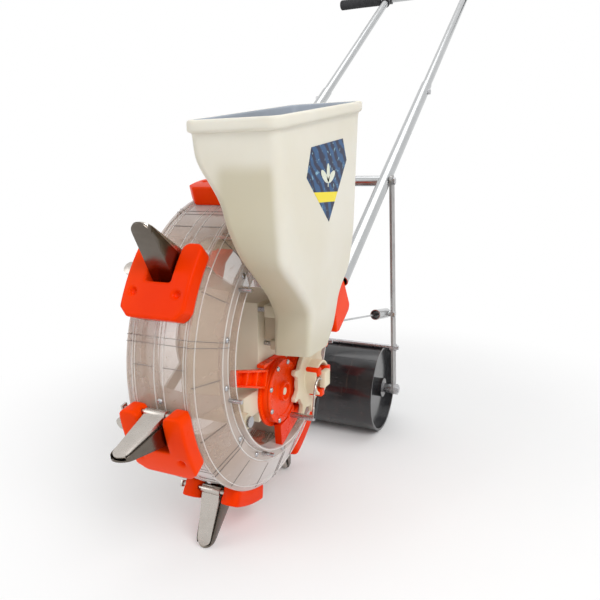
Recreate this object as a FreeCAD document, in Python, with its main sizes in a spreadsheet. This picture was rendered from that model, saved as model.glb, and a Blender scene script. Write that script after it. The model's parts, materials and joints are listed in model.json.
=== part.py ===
import FreeCAD, Part
import math
import os
import re
import Sketcher
from FreeCAD import Placement, Rotation, Vector

# Walk-behind duckbill seed sower: a clear ring that carries seven planting beaks rolls
# on guide rollers about a fixed seed box, and two handle tubes and a press roller trail it.
# Millimetres. The machine travels towards -Y, +X is its left side, +Z is up and the
# ground is z = 0. The origin is on the ground at the middle of the machine's length.

doc = FreeCAD.newDocument("SeedSower")
sheet = doc.addObject("Spreadsheet::Sheet", "Sizes")

DRIVING_SIZES = [
    ("ring_radius", 200, "outer radius of the ring's band"),
    ("band_half", 42, "half width of the band at its rim"),
    ("ring_wall", 3, "wall of the clear shells"),
    ("rim_height", 3, "height of the rim lip above the band"),
    ("rim_lip", 3, "thickness of the rim lip"),
    ("flange_side", 59, "side distance of the flange's outer face"),
    ("flange_wide_ring", 19, "how far the flat flange reaches beyond the collar"),
    ("collar_radius", 143, "inner radius of the collar the guide rollers run on"),
    ("collar_side", 67, "side distance of the collar's outer edge"),
    ("collar_inside", 44, "side distance of the collar's inner edge"),
    ("rib_thick", 2, "thickness of a cell partition"),
    ("beak_count", 7, "planting beaks round the ring"),
    ("beak_reach", 84, "how far the beak tips stand out from the band"),
    ("seat_high", 24, "height of a beak seat above the band"),
    ("seat_gap", 0.2, "gap between a seat and the band"),
    ("seat_half", 43, "half width of a seat"),
    ("seat_lead", 19.5, "degrees a seat reaches ahead of its beak tip"),
    ("seat_trail", 4.3, "degrees a seat reaches behind its beak tip"),
    ("notch_lead", 8.6, "degrees the notch reaches ahead of the beak tip"),
    ("notch_half", 16.7, "half width of the notch"),
    ("seat_bolt_side", 29, "side distance of the two seat bolts"),
    ("seat_bolt_lead", 12, "degrees of the seat bolts ahead of the tip"),
    ("seat_bolt_bore", 4.5, "radius of the counterbored seat holes"),
    ("seat_bolt_depth", 5, "depth of the counterbored seat holes"),
    ("beak_root_half", 16.5, "half width of the fixed beak at its root"),
    ("beak_tip_half", 12, "half width of the fixed beak at its tip"),
    ("beak_sheet", 2, "sheet thickness of the beaks"),
    ("root_rise", 0.3, "height of the fixed beak's root above the band"),
    ("beak_root_lead", 30, "distance of the fixed beak's root ahead of the tip line"),
    ("beak_trail", 3, "distance of the side walls behind the tip line"),
    ("jaw_rise", 4.5, "height of the moving beak's root above the band"),
    ("jaw_root_lead", 8, "distance of the moving beak's root ahead of the tip line"),
    ("jaw_root_trail", 12, "distance of the moving beak's root behind the tip line"),
    ("jaw_short", 3, "how far the moving beak's tip stays inside the tip circle"),
    ("jaw_gap", 0.6, "side gap between the moving and the fixed beak"),
    ("jaw_hinge_back", 9, "distance of the jaw hinge behind the tip line"),
    ("hinge_rise", 9.5, "height of the jaw hinge above the band"),
    ("jaw_pin", 3, "radius of the jaw hinge pin"),
    ("jaw_barrel", 5.5, "radius of the jaw's hinge barrel"),
    ("trip_reach", 62, "side reach of the trip tab"),
    ("trip_tab", 16, "length of the trip tab along the ring"),
    ("trip_thick", 2.5, "thickness of the trip lever"),
    ("pin_inset", 7, "distance of the drive pins' circle outside the collar"),
    ("drive_pin", 2.5, "radius of a drive pin"),
    ("drive_pin_end", 76, "side distance of a drive pin's end"),
    ("screw_head", 3.5, "radius of a small screw head"),
    ("screw_rise", 2.4, "height of a small screw head"),
    ("star_teeth", 9, "teeth of the star wheel"),
    ("star_radius", 60, "tip radius of the star wheel"),
    ("star_valley", 46, "valley radius of the star wheel"),
    ("star_back", 62, "distance of the star axle behind the ring axis"),
    ("star_clear", 0.1724, "distance between the tip circle's top and the pin circle"),
    ("star_side", 68, "side distance of the star wheel's inner face"),
    ("star_thick", 7, "thickness of the star wheel"),
    ("hub_radius", 26, "radius of the star wheel's hub"),
    ("hub_long", 18, "length of the star wheel's hub"),
    ("hub_wall", 4, "wall of the star wheel's hub"),
    ("gear_centres", 75, "distance between the star axle and the metering axle"),
    ("gear_teeth", 20, "teeth of the two equal gears"),
    ("gear_outer", 39.6, "tip radius of the gears"),
    ("gear_root", 33.8, "root radius of the gears"),
    ("gear_side", 55, "side distance of the gears' inner face"),
    ("gear_thick", 6, "thickness of the gears"),
    ("shaft_radius", 5, "radius of the two gear shafts"),
    ("shaft_fit", 0.08, "radial running clearance of a shaft"),
    ("case_side", 51.5, "side distance of the gear case's inner face"),
    ("case_floor", 2.5, "thickness of the case floor"),
    ("case_edge", 62, "side distance of the case rim"),
    ("case_radius", 44, "outer radius of a case lobe"),
    ("case_wall", 2.8, "wall of the gear case"),
    ("cover_side", 62.2, "side distance of the gear cover's inner face"),
    ("cover_thick", 3, "thickness of the gear cover"),
    ("boss_radius", 13.5, "radius of the cover's raised boss"),
    ("boss_rise", 5, "height of the cover's raised boss"),
    ("roller_radius", 22, "radius of the seed metering roller"),
    ("roller_long", 28, "length of the seed metering roller"),
    ("pocket_radius", 6, "radius of a seed pocket"),
    ("pocket_count", 6, "seed pockets round the metering roller"),
    ("guide_radius", 10, "radius of a guide roller's running wheel"),
    ("guide_core", 7, "radius of a guide roller's core"),
    ("guide_gap", 0.3, "gap between a guide roller and the collar"),
    ("spindle_radius", 4, "radius of a guide roller's spindle"),
    ("plate_thick", 3, "thickness of the centre plates"),
    ("box_rise", 66, "height of the seed box's top above the ring axis"),
    ("chute_clear", 43.2, "distance from the seed chute's front to the collar"),
    ("chute_high", 32, "height of the seed chute"),
    ("flange_wide", 6, "how far the near plate's rim stands out round the gear case"),
    ("front_arm_angle", 81, "angle of the near plate's front arm round the ring; 0 is down, 90 ahead"),
    ("arm_clear", 15, "distance from the near plate's front arm to the collar"),
    ("latch_back", 10, "distance of the latch hinge behind the ring axis"),
    ("latch_below", 43, "distance of the latch hinge below the metering axle"),
    ("latch_radius", 4, "radius of the latch hinge rod"),
    ("latch_side", 101, "side distance of the latch wire"),
    ("beam_back", 60, "distance of the bracket beams' front behind the ring axis"),
    ("beam_wide", 36, "front-to-back size of the bracket beams"),
    ("beam_rise", 8, "height of the bracket beams' bottom above the ring axis"),
    ("beam_high", 28, "height of the bracket beams"),
    ("web_thick", 12, "thickness of the bracket webs"),
    ("link_rise", 8, "height of the brace wire's end above the beam's bottom"),
    ("stub_long", 70, "length of the brace's stub tube"),
    ("spout_ahead", 42, "distance of the hopper spout's front ahead of the ring axis"),
    ("spout_deep", 44, "front-to-back size of the hopper spout"),
    ("spout_rise", 14, "height of the hopper spout's bottom above the ring axis"),
    ("spout_high", 38, "height of the hopper spout"),
    ("spout_side", 79, "side distance where the hopper's lower part starts"),
    ("hopper_inner", 30, "side distance of the hopper's upper inner wall"),
    ("hopper_outer", 136, "side distance of the hopper's outer wall"),
    ("hopper_wall", 3, "wall of the hopper"),
    ("hopper_front", 175, "distance of the hopper's front wall ahead of the ring axis"),
    ("hopper_back", 90, "distance of the hopper's back wall behind the ring axis"),
    ("hopper_front_top", 281, "height of the hopper's front rim above the ring axis"),
    ("hopper_back_top", 326, "height of the hopper's back rim above the ring axis"),
    ("hopper_lip", 3, "how far the hopper's rim band stands out"),
    ("hopper_lip_high", 12, "height of the hopper's rim band"),
    ("tube_side", 112, "side distance of the handle tubes"),
    ("tube_pitch", 33.7, "slope of the handle tubes in degrees"),
    ("tube_radius", 11, "radius of the lower handle tubes"),
    ("tube_wall", 1.5, "wall of the handle tubes"),
    ("tube_start", 140, "distance of the lower tubes' start along the handle line"),
    ("tube_joint", 750, "distance of the tube joint along the handle line"),
    ("tube_end", 1310, "distance of the handlebar along the handle line"),
    ("handle_line", 33, "distance ahead of the ring axis where the handle line meets its level"),
    ("upper_radius", 9.4, "radius of the upper handle tubes"),
    ("upper_insert", 60, "length of upper tube inside the lower tube"),
    ("bar_radius", 9, "radius of the handlebar"),
    ("grip_radius", 14, "radius of a foam grip"),
    ("grip_long", 125, "length of a foam grip"),
    ("grip_gap", 2.5, "gap between a foam grip and its clamp"),
    ("cross_at", 395, "distance of the cross tube along the handle line"),
    ("arm_side", 123.2, "side distance of the roller arms' inner face"),
    ("arm_thick", 4, "thickness of a roller arm"),
    ("arm_wide", 20, "width of a roller arm"),
    ("press_radius", 83, "radius of the press roller"),
    ("press_half", 105, "half width of the press roller"),
    ("press_wall", 4, "wall of the press roller"),
    ("press_back", 352, "distance of the press roller behind the ring axis"),
    ("axle_radius", 6, "radius of the press roller's axle"),
    ("rod_radius", 4, "radius of the tie rod"),
    ("wire_radius", 1.5, "radius of bent wire parts"),
    ("sleeve_wall", 4, "wall of the bracket sleeves"),
    ("sleeve_long", 62, "length of the bracket sleeves"),
    ("sleeve_gap", 0.2, "gap between a sleeve and its tube"),
]
FOLLOWING_SIZES = [
    ("flange_radius", "collar_radius + flange_wide_ring", "outer radius of the flat flange"),
    ("tip_radius", "ring_radius + beak_reach", "radius of the beak tips"),
    ("seat_outer", "ring_radius + seat_high", "outer radius of a beak seat"),
    ("beak_root", "ring_radius + root_rise", "radius of the fixed beak's root"),
    ("jaw_root", "ring_radius + jaw_rise", "radius of the moving beak's root"),
    ("jaw_hinge_radius", "ring_radius + hinge_rise", "radius of the jaw hinge"),
    ("pin_circle", "collar_radius + pin_inset", "radius of the circle of drive pins and flange screws"),
    ("star_drop", "sqrt((pin_circle - star_radius - star_clear) ^ 2 - star_back ^ 2)",
     "distance of the star axle below the ring axis"),
    ("metering_ahead", "gear_centres - star_back", "distance of the metering axle ahead of the ring axis"),
    ("metering_drop", "star_drop", "distance of the metering axle below the ring axis"),
    ("chute_long", "collar_radius - case_radius - metering_ahead - case_wall - chute_clear",
     "length of the seed chute"),
    ("arm_reach", "collar_radius - arm_clear", "reach of the near plate's front arm from the ring axis"),
    ("latch_drop", "metering_drop + latch_below", "distance of the latch hinge below the ring axis"),
    ("bar_half", "tube_side + 1.5 * bar_radius + grip_gap + grip_long - rim_lip",
     "half length of the handlebar"),
]
SIZES = DRIVING_SIZES + [(name, "=" + formula, note) for name, formula, note in FOLLOWING_SIZES]
for row, (name, value, note) in enumerate(SIZES, 1):
    sheet.set(f"A{row}", note)
    sheet.set(f"B{row}", str(value))
    sheet.setAlias(f"B{row}", name)
doc.recompute()

ALIASES = {name for name, value, note in SIZES}
S = {name: float(sheet.get(name)) for name in ALIASES}


def bound(expression):
    """Write an expression of size names as one that reads the sheet."""
    return re.sub(r"[a-z_]+", lambda word: "Sizes." + word[0] if word[0] in ALIASES else word[0], expression)


def worth(expression):
    """Give the present value of an expression of size names."""
    return float(sheet.evalExpression(bound(expression)))


HALF_STEP = math.pi / S["beak_count"]
AXLE_HEIGHT = S["tip_radius"] * math.cos(HALF_STEP) + S["beak_sheet"] / 2 * math.sin(HALF_STEP)
RING_CENTRE = Vector(0, 0, AXLE_HEIGHT)
SIDE_AXIS = Vector(1, 0, 0)
BEAK_STEP = 360 / S["beak_count"]
parts = []


def keep(piece, label, placement=None):
    """Name a finished sub-part and put it in its place."""
    piece.Label = label
    if placement is not None:
        piece.Placement = placement
    parts.append(piece)
    return piece


def on_ring(turn=0):
    """Place a piece drawn about the ring axis, with local +Z turned round the side axis."""
    return Placement(RING_CENTRE, Rotation(SIDE_AXIS, turn))


def new_body(name):
    return doc.addObject("PartDesign::Body", name)


def origin_feature(body, role):
    return next(item for item in body.Origin.OriginFeatures if item.Role == role)


def outline(body, plane, points, height="0"):
    """Draw a closed outline whose corners are bound to the sheet."""
    sketch = body.newObject("Sketcher::SketchObject", "Outline")
    sketch.AttachmentSupport = [(origin_feature(body, plane), "")]
    sketch.MapMode = "FlatFace"
    if height != "0":
        sketch.setExpression("AttachmentOffset.Base.z", bound(height))
    corners = [Vector(worth(across), worth(up), 0) for across, up in points]
    count = len(corners)
    for index in range(count):
        sketch.addGeometry(Part.LineSegment(corners[index], corners[(index + 1) % count]), False)
    for index in range(count):
        sketch.addConstraint(Sketcher.Constraint("Coincident", index, 2, (index + 1) % count, 1))
    for index, (across, up) in enumerate(points):
        for kind, expression, value in (("DistanceX", across, corners[index].x),
                                        ("DistanceY", up, corners[index].y)):
            number = sketch.addConstraint(Sketcher.Constraint(kind, -1, 1, index, 1, value))
            sketch.setExpression(f"Constraints[{number}]", bound(expression))
    return sketch


def circle(body, plane, across, up, radius, height="0"):
    """Draw a circle whose centre and radius are bound to the sheet."""
    sketch = body.newObject("Sketcher::SketchObject", "Round")
    sketch.AttachmentSupport = [(origin_feature(body, plane), "")]
    sketch.MapMode = "FlatFace"
    if height != "0":
        sketch.setExpression("AttachmentOffset.Base.z", bound(height))
    centre = Vector(worth(across), worth(up), 0)
    sketch.addGeometry(Part.Circle(centre, Vector(0, 0, 1), worth(radius)), False)
    for kind, expression, value in (("DistanceX", across, centre.x), ("DistanceY", up, centre.y)):
        number = sketch.addConstraint(Sketcher.Constraint(kind, -1, 1, 0, 3, value))
        sketch.setExpression(f"Constraints[{number}]", bound(expression))
    number = sketch.addConstraint(Sketcher.Constraint("Radius", 0, worth(radius)))
    sketch.setExpression(f"Constraints[{number}]", bound(radius))
    return sketch


def pad(body, sketch, length, both_ways=False):
    feature = body.newObject("PartDesign::Pad", "Pad")
    feature.Profile = sketch
    feature.setExpression("Length", bound(length))
    if both_ways:
        feature.SideType = "Symmetric"
    return feature


def pocket(body, sketch, length, both_ways=False, backwards=False):
    feature = body.newObject("PartDesign::Pocket", "Pocket")
    feature.Profile = sketch
    feature.setExpression("Length", bound(length))
    feature.Reversed = backwards
    if both_ways:
        feature.SideType = "Symmetric"
    return feature


def revolve(body, sketch, angle="360", both_ways=False):
    feature = body.newObject("PartDesign::Revolution", "Revolution")
    feature.Profile = sketch
    feature.ReferenceAxis = (sketch, ["H_Axis"])
    feature.setExpression("Angle", bound(angle))
    feature.Midplane = both_ways
    return feature


def ring_pattern(body, features, count):
    """Repeat features round the body's side axis."""
    pattern = body.newObject("PartDesign::PolarPattern", "Round")
    pattern.Originals = features
    pattern.Axis = (origin_feature(body, "X_Axis"), [""])
    pattern.Angle = 360
    pattern.setExpression("Occurrences", bound(count))
    body.Tip = pattern
    return pattern


def bore_through(body, kind, radius, length, across, back="0", up="0", axis="X", turn=0):
    """Add or take away a cylinder whose axis starts at a bound place."""
    feature = body.newObject("PartDesign::" + kind + "Cylinder", "Bore")
    feature.setExpression("Radius", bound(radius))
    feature.setExpression("Height", bound(length))
    turns = {"X": Rotation(Vector(0, 1, 0), 90), "Y": Rotation(Vector(1, 0, 0), -90),
             "Z": Rotation(Vector(1, 0, 0), turn)}
    feature.Placement = Placement(Vector(worth(across), worth(back), worth(up)), turns[axis])
    return feature


def edges_where(shape, test):
    return [f"Edge{number}" for number, edge in enumerate(shape.Edges, 1) if test(edge)]


def soften(body, kind, amount, test):
    """Fillet or chamfer the edges that pass a test."""
    doc.recompute()
    base = body.Tip
    feature = body.newObject("PartDesign::" + kind, kind)
    feature.Base = (base, edges_where(base.Shape, test))
    feature.setExpression("Radius" if kind == "Fillet" else "Size", bound(amount))
    return feature


def rod(name, radius, length, start, direction):
    """Make a bound cylinder from a start point along a direction."""
    piece = doc.addObject("Part::Cylinder", name)
    piece.setExpression("Radius", bound(radius))
    piece.setExpression("Height", bound(length))
    piece.Placement = Placement(start, Rotation(Vector(0, 0, 1), direction))
    return piece


def block(name, long, wide, high, corner, turn=None):
    """Make a bound box from its lowest corner."""
    piece = doc.addObject("Part::Box", name)
    piece.setExpression("Length", bound(long))
    piece.setExpression("Width", bound(wide))
    piece.setExpression("Height", bound(high))
    piece.Placement = Placement(corner, turn or Rotation())
    return piece


def fuse(name, pieces):
    result = doc.addObject("Part::MultiFuse", name)
    result.Shapes = pieces
    result.Refine = True
    return result


def cut(name, base, tool):
    result = doc.addObject("Part::Cut", name)
    result.Base = base
    result.Tool = tool
    result.Refine = True
    return result


def group(name, pieces):
    result = doc.addObject("Part::Compound", name)
    result.Links = pieces
    return result


# Clear ring: two moulded shells that meet in the middle, each with a band, a rim lip,
# a cone to the flange, a collar for the guide rollers and the partitions of its cells
def ring_shell(label, side):
    body = new_body(label)
    flip = "" if side > 0 else "-1 * "
    corners = [
        ("0", "ring_radius - ring_wall"),
        ("0", "ring_radius"),
        ("band_half - rim_lip", "ring_radius"),
        ("band_half - rim_lip", "ring_radius + rim_height"),
        ("band_half", "ring_radius + rim_height"),
        ("flange_side", "flange_radius"),
        ("flange_side", "collar_radius + ring_wall"),
        ("collar_side", "collar_radius + ring_wall"),
        ("collar_side", "collar_radius"),
        ("collar_inside", "collar_radius"),
        ("collar_inside", "collar_radius + ring_wall"),
        ("flange_side - ring_wall", "collar_radius + ring_wall"),
        ("flange_side - ring_wall", "flange_radius - ring_wall / 2"),
        ("band_half - ring_wall", "ring_radius - ring_wall"),
    ]
    shell = [(flip + "(" + side_place + ")", radius) for side_place, radius in corners]
    revolve(body, outline(body, "XY_Plane", shell))
    rib = [
        ("0", "collar_radius + 3 * ring_wall"),
        ("0", "ring_radius - ring_wall / 2"),
        ("band_half - ring_wall", "ring_radius - ring_wall / 2"),
        ("flange_side - ring_wall / 2", "flange_radius - ring_wall"),
        ("flange_side - ring_wall / 2", "collar_radius + ring_wall / 2"),
        ("collar_inside + ring_wall", "collar_radius + ring_wall / 2"),
    ]
    partition = [(flip + "(" + side_place + ")", radius) for side_place, radius in rib]
    wall = pad(body, outline(body, "XZ_Plane", partition), "rib_thick", both_ways=True)
    ring_pattern(body, [wall], "beak_count")
    return keep(body, label, on_ring())


ring_shell("drum_shell_near", 1)
ring_shell("drum_shell_far", -1)


def round_the_ring(radius, angle):
    """Give the Y and Z of a place round the ring; 0 is down and 90 is ahead."""
    turn = math.radians(angle)
    return -radius * math.sin(turn), AXLE_HEIGHT - radius * math.cos(turn)


BEAK_ANGLES = [BEAK_STEP / 2 + BEAK_STEP * index for index in range(int(S["beak_count"]))]

# Drive pins that turn the star wheel, one for each beak, and the screws that close the ring
drive_pins = []
for index, angle in enumerate(BEAK_ANGLES):
    back, up = round_the_ring(S["pin_circle"], angle)
    drive_pins.append(rod(f"drive_pin_{index + 1}", "drive_pin", "drive_pin_end - flange_side",
                          Vector(S["flange_side"], back, up), SIDE_AXIS))
keep(group("drive_pins", drive_pins), "drive_pins")

SCREW_LEADS = (6.7, -23.5)
BAND_SCREW_TRAIL = 5.6
drum_screws = []
for index, angle in enumerate(BEAK_ANGLES):
    for lead in SCREW_LEADS:
        back, up = round_the_ring(S["pin_circle"] + S["screw_head"], angle + lead)
        for side in (1, -1):
            start = Vector(side * S["flange_side"], back, up)
            drum_screws.append(rod(f"flange_screw_{len(drum_screws) + 1}", "screw_head", "screw_rise",
                                   start, side * SIDE_AXIS))
    back, up = round_the_ring(S["ring_radius"] + S["seat_gap"], angle + BAND_SCREW_TRAIL)
    outward = Vector(0, back, up - AXLE_HEIGHT)
    drum_screws.append(rod(f"band_screw_{index + 1}", "screw_head", "screw_rise",
                           Vector(0, back, up), outward))
keep(group("drum_screws", drum_screws), "drum_screws")


# Beak seat: an orange block on the band with a notch for the beak, open at its trailing end
def beak_seat(label, angle):
    body = new_body(label)
    section = [
        ("-seat_half", "ring_radius + rim_height + seat_gap"),
        ("-seat_half", "seat_outer"),
        ("seat_half", "seat_outer"),
        ("seat_half", "ring_radius + rim_height + seat_gap"),
        ("band_half - rim_lip - seat_gap", "ring_radius + rim_height + seat_gap"),
        ("band_half - rim_lip - seat_gap", "ring_radius + seat_gap"),
        ("seat_gap + rim_lip - band_half", "ring_radius + seat_gap"),
        ("seat_gap + rim_lip - band_half", "ring_radius + rim_height + seat_gap"),
    ]
    revolve(body, outline(body, "XZ_Plane", section), "seat_lead + seat_trail", both_ways=True)
    notch_start = "seat_outer * sin((seat_lead - seat_trail) / 2 - notch_lead)"
    notch = [
        ("-notch_half", notch_start),
        ("-notch_half", "seat_outer"),
        ("notch_half", "seat_outer"),
        ("notch_half", notch_start),
    ]
    pocket(body, outline(body, "XY_Plane", notch), "3 * seat_outer", both_ways=True)

    def prong_end(edge):
        along = edge.Vertexes[0].Point.sub(edge.Vertexes[-1].Point)
        prong = S["seat_high"] - S["rim_height"]
        upright = abs(along.x) < 0.01 and 0.85 * prong < edge.Length < 1.4 * prong
        return upright and edge.CenterOfMass.y > S["seat_outer"] * math.sin(math.radians(10))

    soften(body, "Fillet", "(seat_half - notch_half) * 0.35", prong_end)
    middle = (S["seat_lead"] - S["seat_trail"]) / 2
    hinge_turn = math.radians(middle)
    hinge_back = (S["jaw_hinge_back"] * math.cos(hinge_turn)
                  + S["jaw_hinge_radius"] * math.sin(hinge_turn))
    hinge_up = (S["jaw_hinge_radius"] * math.cos(hinge_turn)
                - S["jaw_hinge_back"] * math.sin(hinge_turn))
    for side in ("-1", "1"):
        bolt_turn = middle - S["seat_bolt_lead"]
        bottom = S["seat_outer"] - S["seat_bolt_depth"]
        sink = bore_through(body, "Subtractive", "seat_bolt_bore", "2 * seat_bolt_depth",
                             side + " * seat_bolt_side", axis="Z", turn=-bolt_turn)
        sink.Placement.Base = Vector(worth(side + " * seat_bolt_side"),
                                     bottom * math.sin(math.radians(bolt_turn)),
                                     bottom * math.cos(math.radians(bolt_turn)))
    bore = bore_through(body, "Subtractive", "jaw_pin + shaft_fit", "2.1 * seat_half", "-1.5 * seat_half")
    bore.Placement.Base = Vector(-1.5 * S["seat_half"], hinge_back, hinge_up)

    return keep(body, label, on_ring(180 - angle + middle))


for index, angle in enumerate(BEAK_ANGLES):
    beak_seat(f"beak_seat_{index + 1}", angle)


def channel(body, height, half, web, ends, open_side):
    """Draw the section of a folded sheet channel that is open on one side."""
    inside = "(" + web + " + " + str(open_side) + " * beak_sheet)"
    inner = "(" + half + " - beak_sheet)"
    corners = [
        ("-1 * (" + half + ")", web),
        (half, web),
        (half, ends),
        (inner, ends),
        (inner, inside),
        ("-1 * " + inner, inside),
        ("-1 * " + inner, ends),
        ("-1 * (" + half + ")", ends),
    ]
    return outline(body, "XY_Plane", corners, height)


def loft(body, root, tip):
    feature = body.newObject("PartDesign::AdditiveLoft", "Taper")
    feature.Profile = root
    feature.Sections = [tip]
    feature.Ruled = True
    return feature


def rounded_end(name, radius, top):
    """Make the spade outline that rounds the tip of a beak."""
    below = block(name + "_body", "4 * beak_root_half", "4 * beak_root_lead", "1.5 * beak_reach",
                  Vector(-2 * S["beak_root_half"], -2 * S["beak_root_lead"],
                         worth(top) - worth(radius) - 1.5 * S["beak_reach"]))
    tip = rod(name + "_tip", radius, "4 * beak_root_lead",
              Vector(0, -2 * S["beak_root_lead"], worth(top) - worth(radius)), Vector(0, 1, 0))
    return fuse(name, [below, tip])


# Fixed beak: a folded channel that leads, open at the back, with a rounded tip
def fixed_beak(label, angle):
    body = new_body(label + "_sheet")
    root = channel(body, "beak_root", "beak_root_half", "-1 * beak_root_lead", "beak_trail", 1)
    tip = channel(body, "tip_radius", "beak_tip_half", "-1 * beak_sheet / 2",
                  "beak_trail - beak_sheet / 2", 1)
    loft(body, root, tip)
    spade = rounded_end(label + "_spade", "beak_tip_half + jaw_gap", "tip_radius")
    beak = doc.addObject("Part::Common", label)
    beak.Base = body
    beak.Tool = spade
    return keep(beak, label, on_ring(180 - angle))


# Moving beak: a channel that trails, on a hinge pin with a trip lever at its far end
def moving_beak(label, angle):
    body = new_body(label + "_sheet")
    root_half = "beak_root_half - beak_sheet - jaw_gap"
    tip_half = "beak_tip_half - beak_sheet - jaw_gap"
    root = channel(body, "jaw_root", root_half, "jaw_root_trail", "-1 * jaw_root_lead", -1)
    tip = channel(body, "tip_radius - jaw_short", tip_half, "beak_sheet * 1.7", "jaw_gap", -1)
    loft(body, root, tip)
    spade = rounded_end(label + "_spade", tip_half + " + jaw_gap", "tip_radius - jaw_short")
    trimmed = doc.addObject("Part::Common", label + "_channel")
    trimmed.Base = body
    trimmed.Tool = spade
    hinge = Vector(0, S["jaw_hinge_back"], S["jaw_hinge_radius"])
    barrel = rod(label + "_barrel", "jaw_barrel", "2 * (beak_root_half - beak_sheet - jaw_gap)",
                 hinge - Vector(S["beak_root_half"] - S["beak_sheet"] - S["jaw_gap"], 0, 0), SIDE_AXIS)
    lever_side = -S["seat_half"] - 1.5 * S["jaw_gap"]
    pin_start = lever_side - S["trip_thick"]
    pin = rod(label + "_pin", "jaw_pin", "seat_half + trip_thick + 1.5 * jaw_gap + notch_half + jaw_barrel",
              Vector(pin_start, hinge.y, hinge.z), SIDE_AXIS)
    tab_middle = hinge.y - S["jaw_barrel"] - S["jaw_hinge_back"] - S["trip_tab"] / 2
    lever = block(label + "_lever", "trip_thick", "jaw_barrel + jaw_hinge_back + trip_tab + jaw_barrel",
                  "1.5 * jaw_barrel",
                  Vector(pin_start, tab_middle - S["trip_tab"] / 2, hinge.z - S["jaw_barrel"] * 0.75))
    tab = block(label + "_tab", "trip_reach - seat_half - 1.5 * jaw_gap - trip_tab / 2", "trip_tab",
                "trip_thick",
                Vector(-S["trip_reach"] + S["trip_tab"] / 2, tab_middle - S["trip_tab"] / 2,
                       hinge.z - S["trip_thick"] / 2))
    tab_round = rod(label + "_tab_end", "trip_tab / 2", "trip_thick",
                    Vector(-S["trip_reach"] + S["trip_tab"] / 2, tab_middle, hinge.z - S["trip_thick"] / 2),
                    Vector(0, 0, 1))
    beak = fuse(label, [trimmed, barrel, pin, lever, tab, tab_round])
    return keep(beak, label, on_ring(180 - angle))


for index, angle in enumerate(BEAK_ANGLES):
    fixed_beak(f"fixed_beak_{index + 1}", angle)
    moving_beak(f"moving_beak_{index + 1}", angle)


# Star wheel: nine rounded teeth and a hub; each drive pin moves it on by one tooth
STAR_AXLE = Vector(0, S["star_back"], AXLE_HEIGHT - S["star_drop"])
METERING_AXLE = Vector(0, -S["metering_ahead"], AXLE_HEIGHT - S["metering_drop"])
LINE_ANGLE = math.degrees(math.atan2(-S["star_drop"], S["star_back"]))
NEAREST_PIN = -90 + BEAK_STEP / 2
RING_TO_STAR = S["beak_count"] / S["star_teeth"]
STAR_PHASE = LINE_ANGLE - 90 + 180 / S["star_teeth"] - RING_TO_STAR * (LINE_ANGLE - NEAREST_PIN)
TOOTH_TIP = "3.5"

star = new_body("star_wheel")
pad(star, circle(star, "YZ_Plane", "0", "0", "star_valley", "star_side"), "star_thick")
tooth_outline = [
    ("-2.6 * " + TOOTH_TIP, "star_valley - star_thick / 2"),
    ("-1.5 * " + TOOTH_TIP, "star_valley + " + TOOTH_TIP),
    ("-1 * " + TOOTH_TIP, "star_radius - 1"),
    ("-0.6 * " + TOOTH_TIP, "star_radius"),
    ("0.6 * " + TOOTH_TIP, "star_radius"),
    (TOOTH_TIP, "star_radius - 1"),
    ("1.5 * " + TOOTH_TIP, "star_valley + " + TOOTH_TIP),
    ("2.6 * " + TOOTH_TIP, "star_valley - star_thick / 2"),
]
tooth = pad(star, outline(star, "YZ_Plane", tooth_outline, "star_side"), "star_thick")
ring_pattern(star, [tooth], "star_teeth")
hub = pad(star, circle(star, "YZ_Plane", "0", "0", "hub_radius", "star_side + star_thick"), "hub_long")
star.Tip = hub
pocket(star, circle(star, "YZ_Plane", "0", "0", "hub_radius - hub_wall", "star_side + star_thick + hub_long"),
       "hub_long - hub_wall")
pocket(star, circle(star, "YZ_Plane", "0", "0", "shaft_radius + seat_gap",
                    "star_side + star_thick + hub_long"),
       "2 * (star_thick + hub_long)")
keep(star, "star_wheel", Placement(STAR_AXLE, Rotation(SIDE_AXIS, STAR_PHASE)))


def gear(label, teeth_turn, axle, shaft_from, shaft_long):
    """Make one of the two equal gears with its shaft."""
    body = new_body(label + "_wheel")
    pad(body, circle(body, "YZ_Plane", "0", "0", "gear_root", "gear_side"), "gear_thick")
    pitch = "(180 * 1 / gear_teeth)"
    flank = [
        ("-1 * gear_root * sin(" + pitch + " * 0.56)", "gear_root - gear_thick / 6"),
        ("-1 * gear_outer * sin(" + pitch + " * 0.2)", "gear_outer"),
        ("gear_outer * sin(" + pitch + " * 0.2)", "gear_outer"),
        ("gear_root * sin(" + pitch + " * 0.56)", "gear_root - gear_thick / 6"),
    ]
    cog = pad(body, outline(body, "YZ_Plane", flank, "gear_side"), "gear_thick")
    ring_pattern(body, [cog], "gear_teeth")
    shaft = rod(label + "_shaft", "shaft_radius", shaft_long, Vector(worth(shaft_from), 0, 0), SIDE_AXIS)
    return [body, shaft], Placement(axle, Rotation(SIDE_AXIS, teeth_turn))


GEAR_STEP = 360 / S["gear_teeth"]
star_gear, star_gear_place = gear("star_gear", 90, STAR_AXLE, "case_side + case_floor + shaft_fit",
                                  "star_side + star_thick + hub_long - case_side")
dog = block("star_dog", "hub_wall * 2", "hub_radius * 0.9", "hub_radius * 0.8",
            Vector(S["star_side"] + S["star_thick"] + S["hub_long"], -S["hub_radius"] * 0.45,
                   -S["hub_radius"] * 0.4))
keep(fuse("star_gear", star_gear + [dog]), "star_gear", star_gear_place)
roller_gear, roller_gear_place = gear("roller_gear", 90 + GEAR_STEP / 2, METERING_AXLE,
                                      "case_side - roller_long",
                                      "roller_long + cover_side + cover_thick + boss_rise / 2 - case_side")
keep(fuse("roller_gear", roller_gear), "roller_gear", roller_gear_place)

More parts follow.
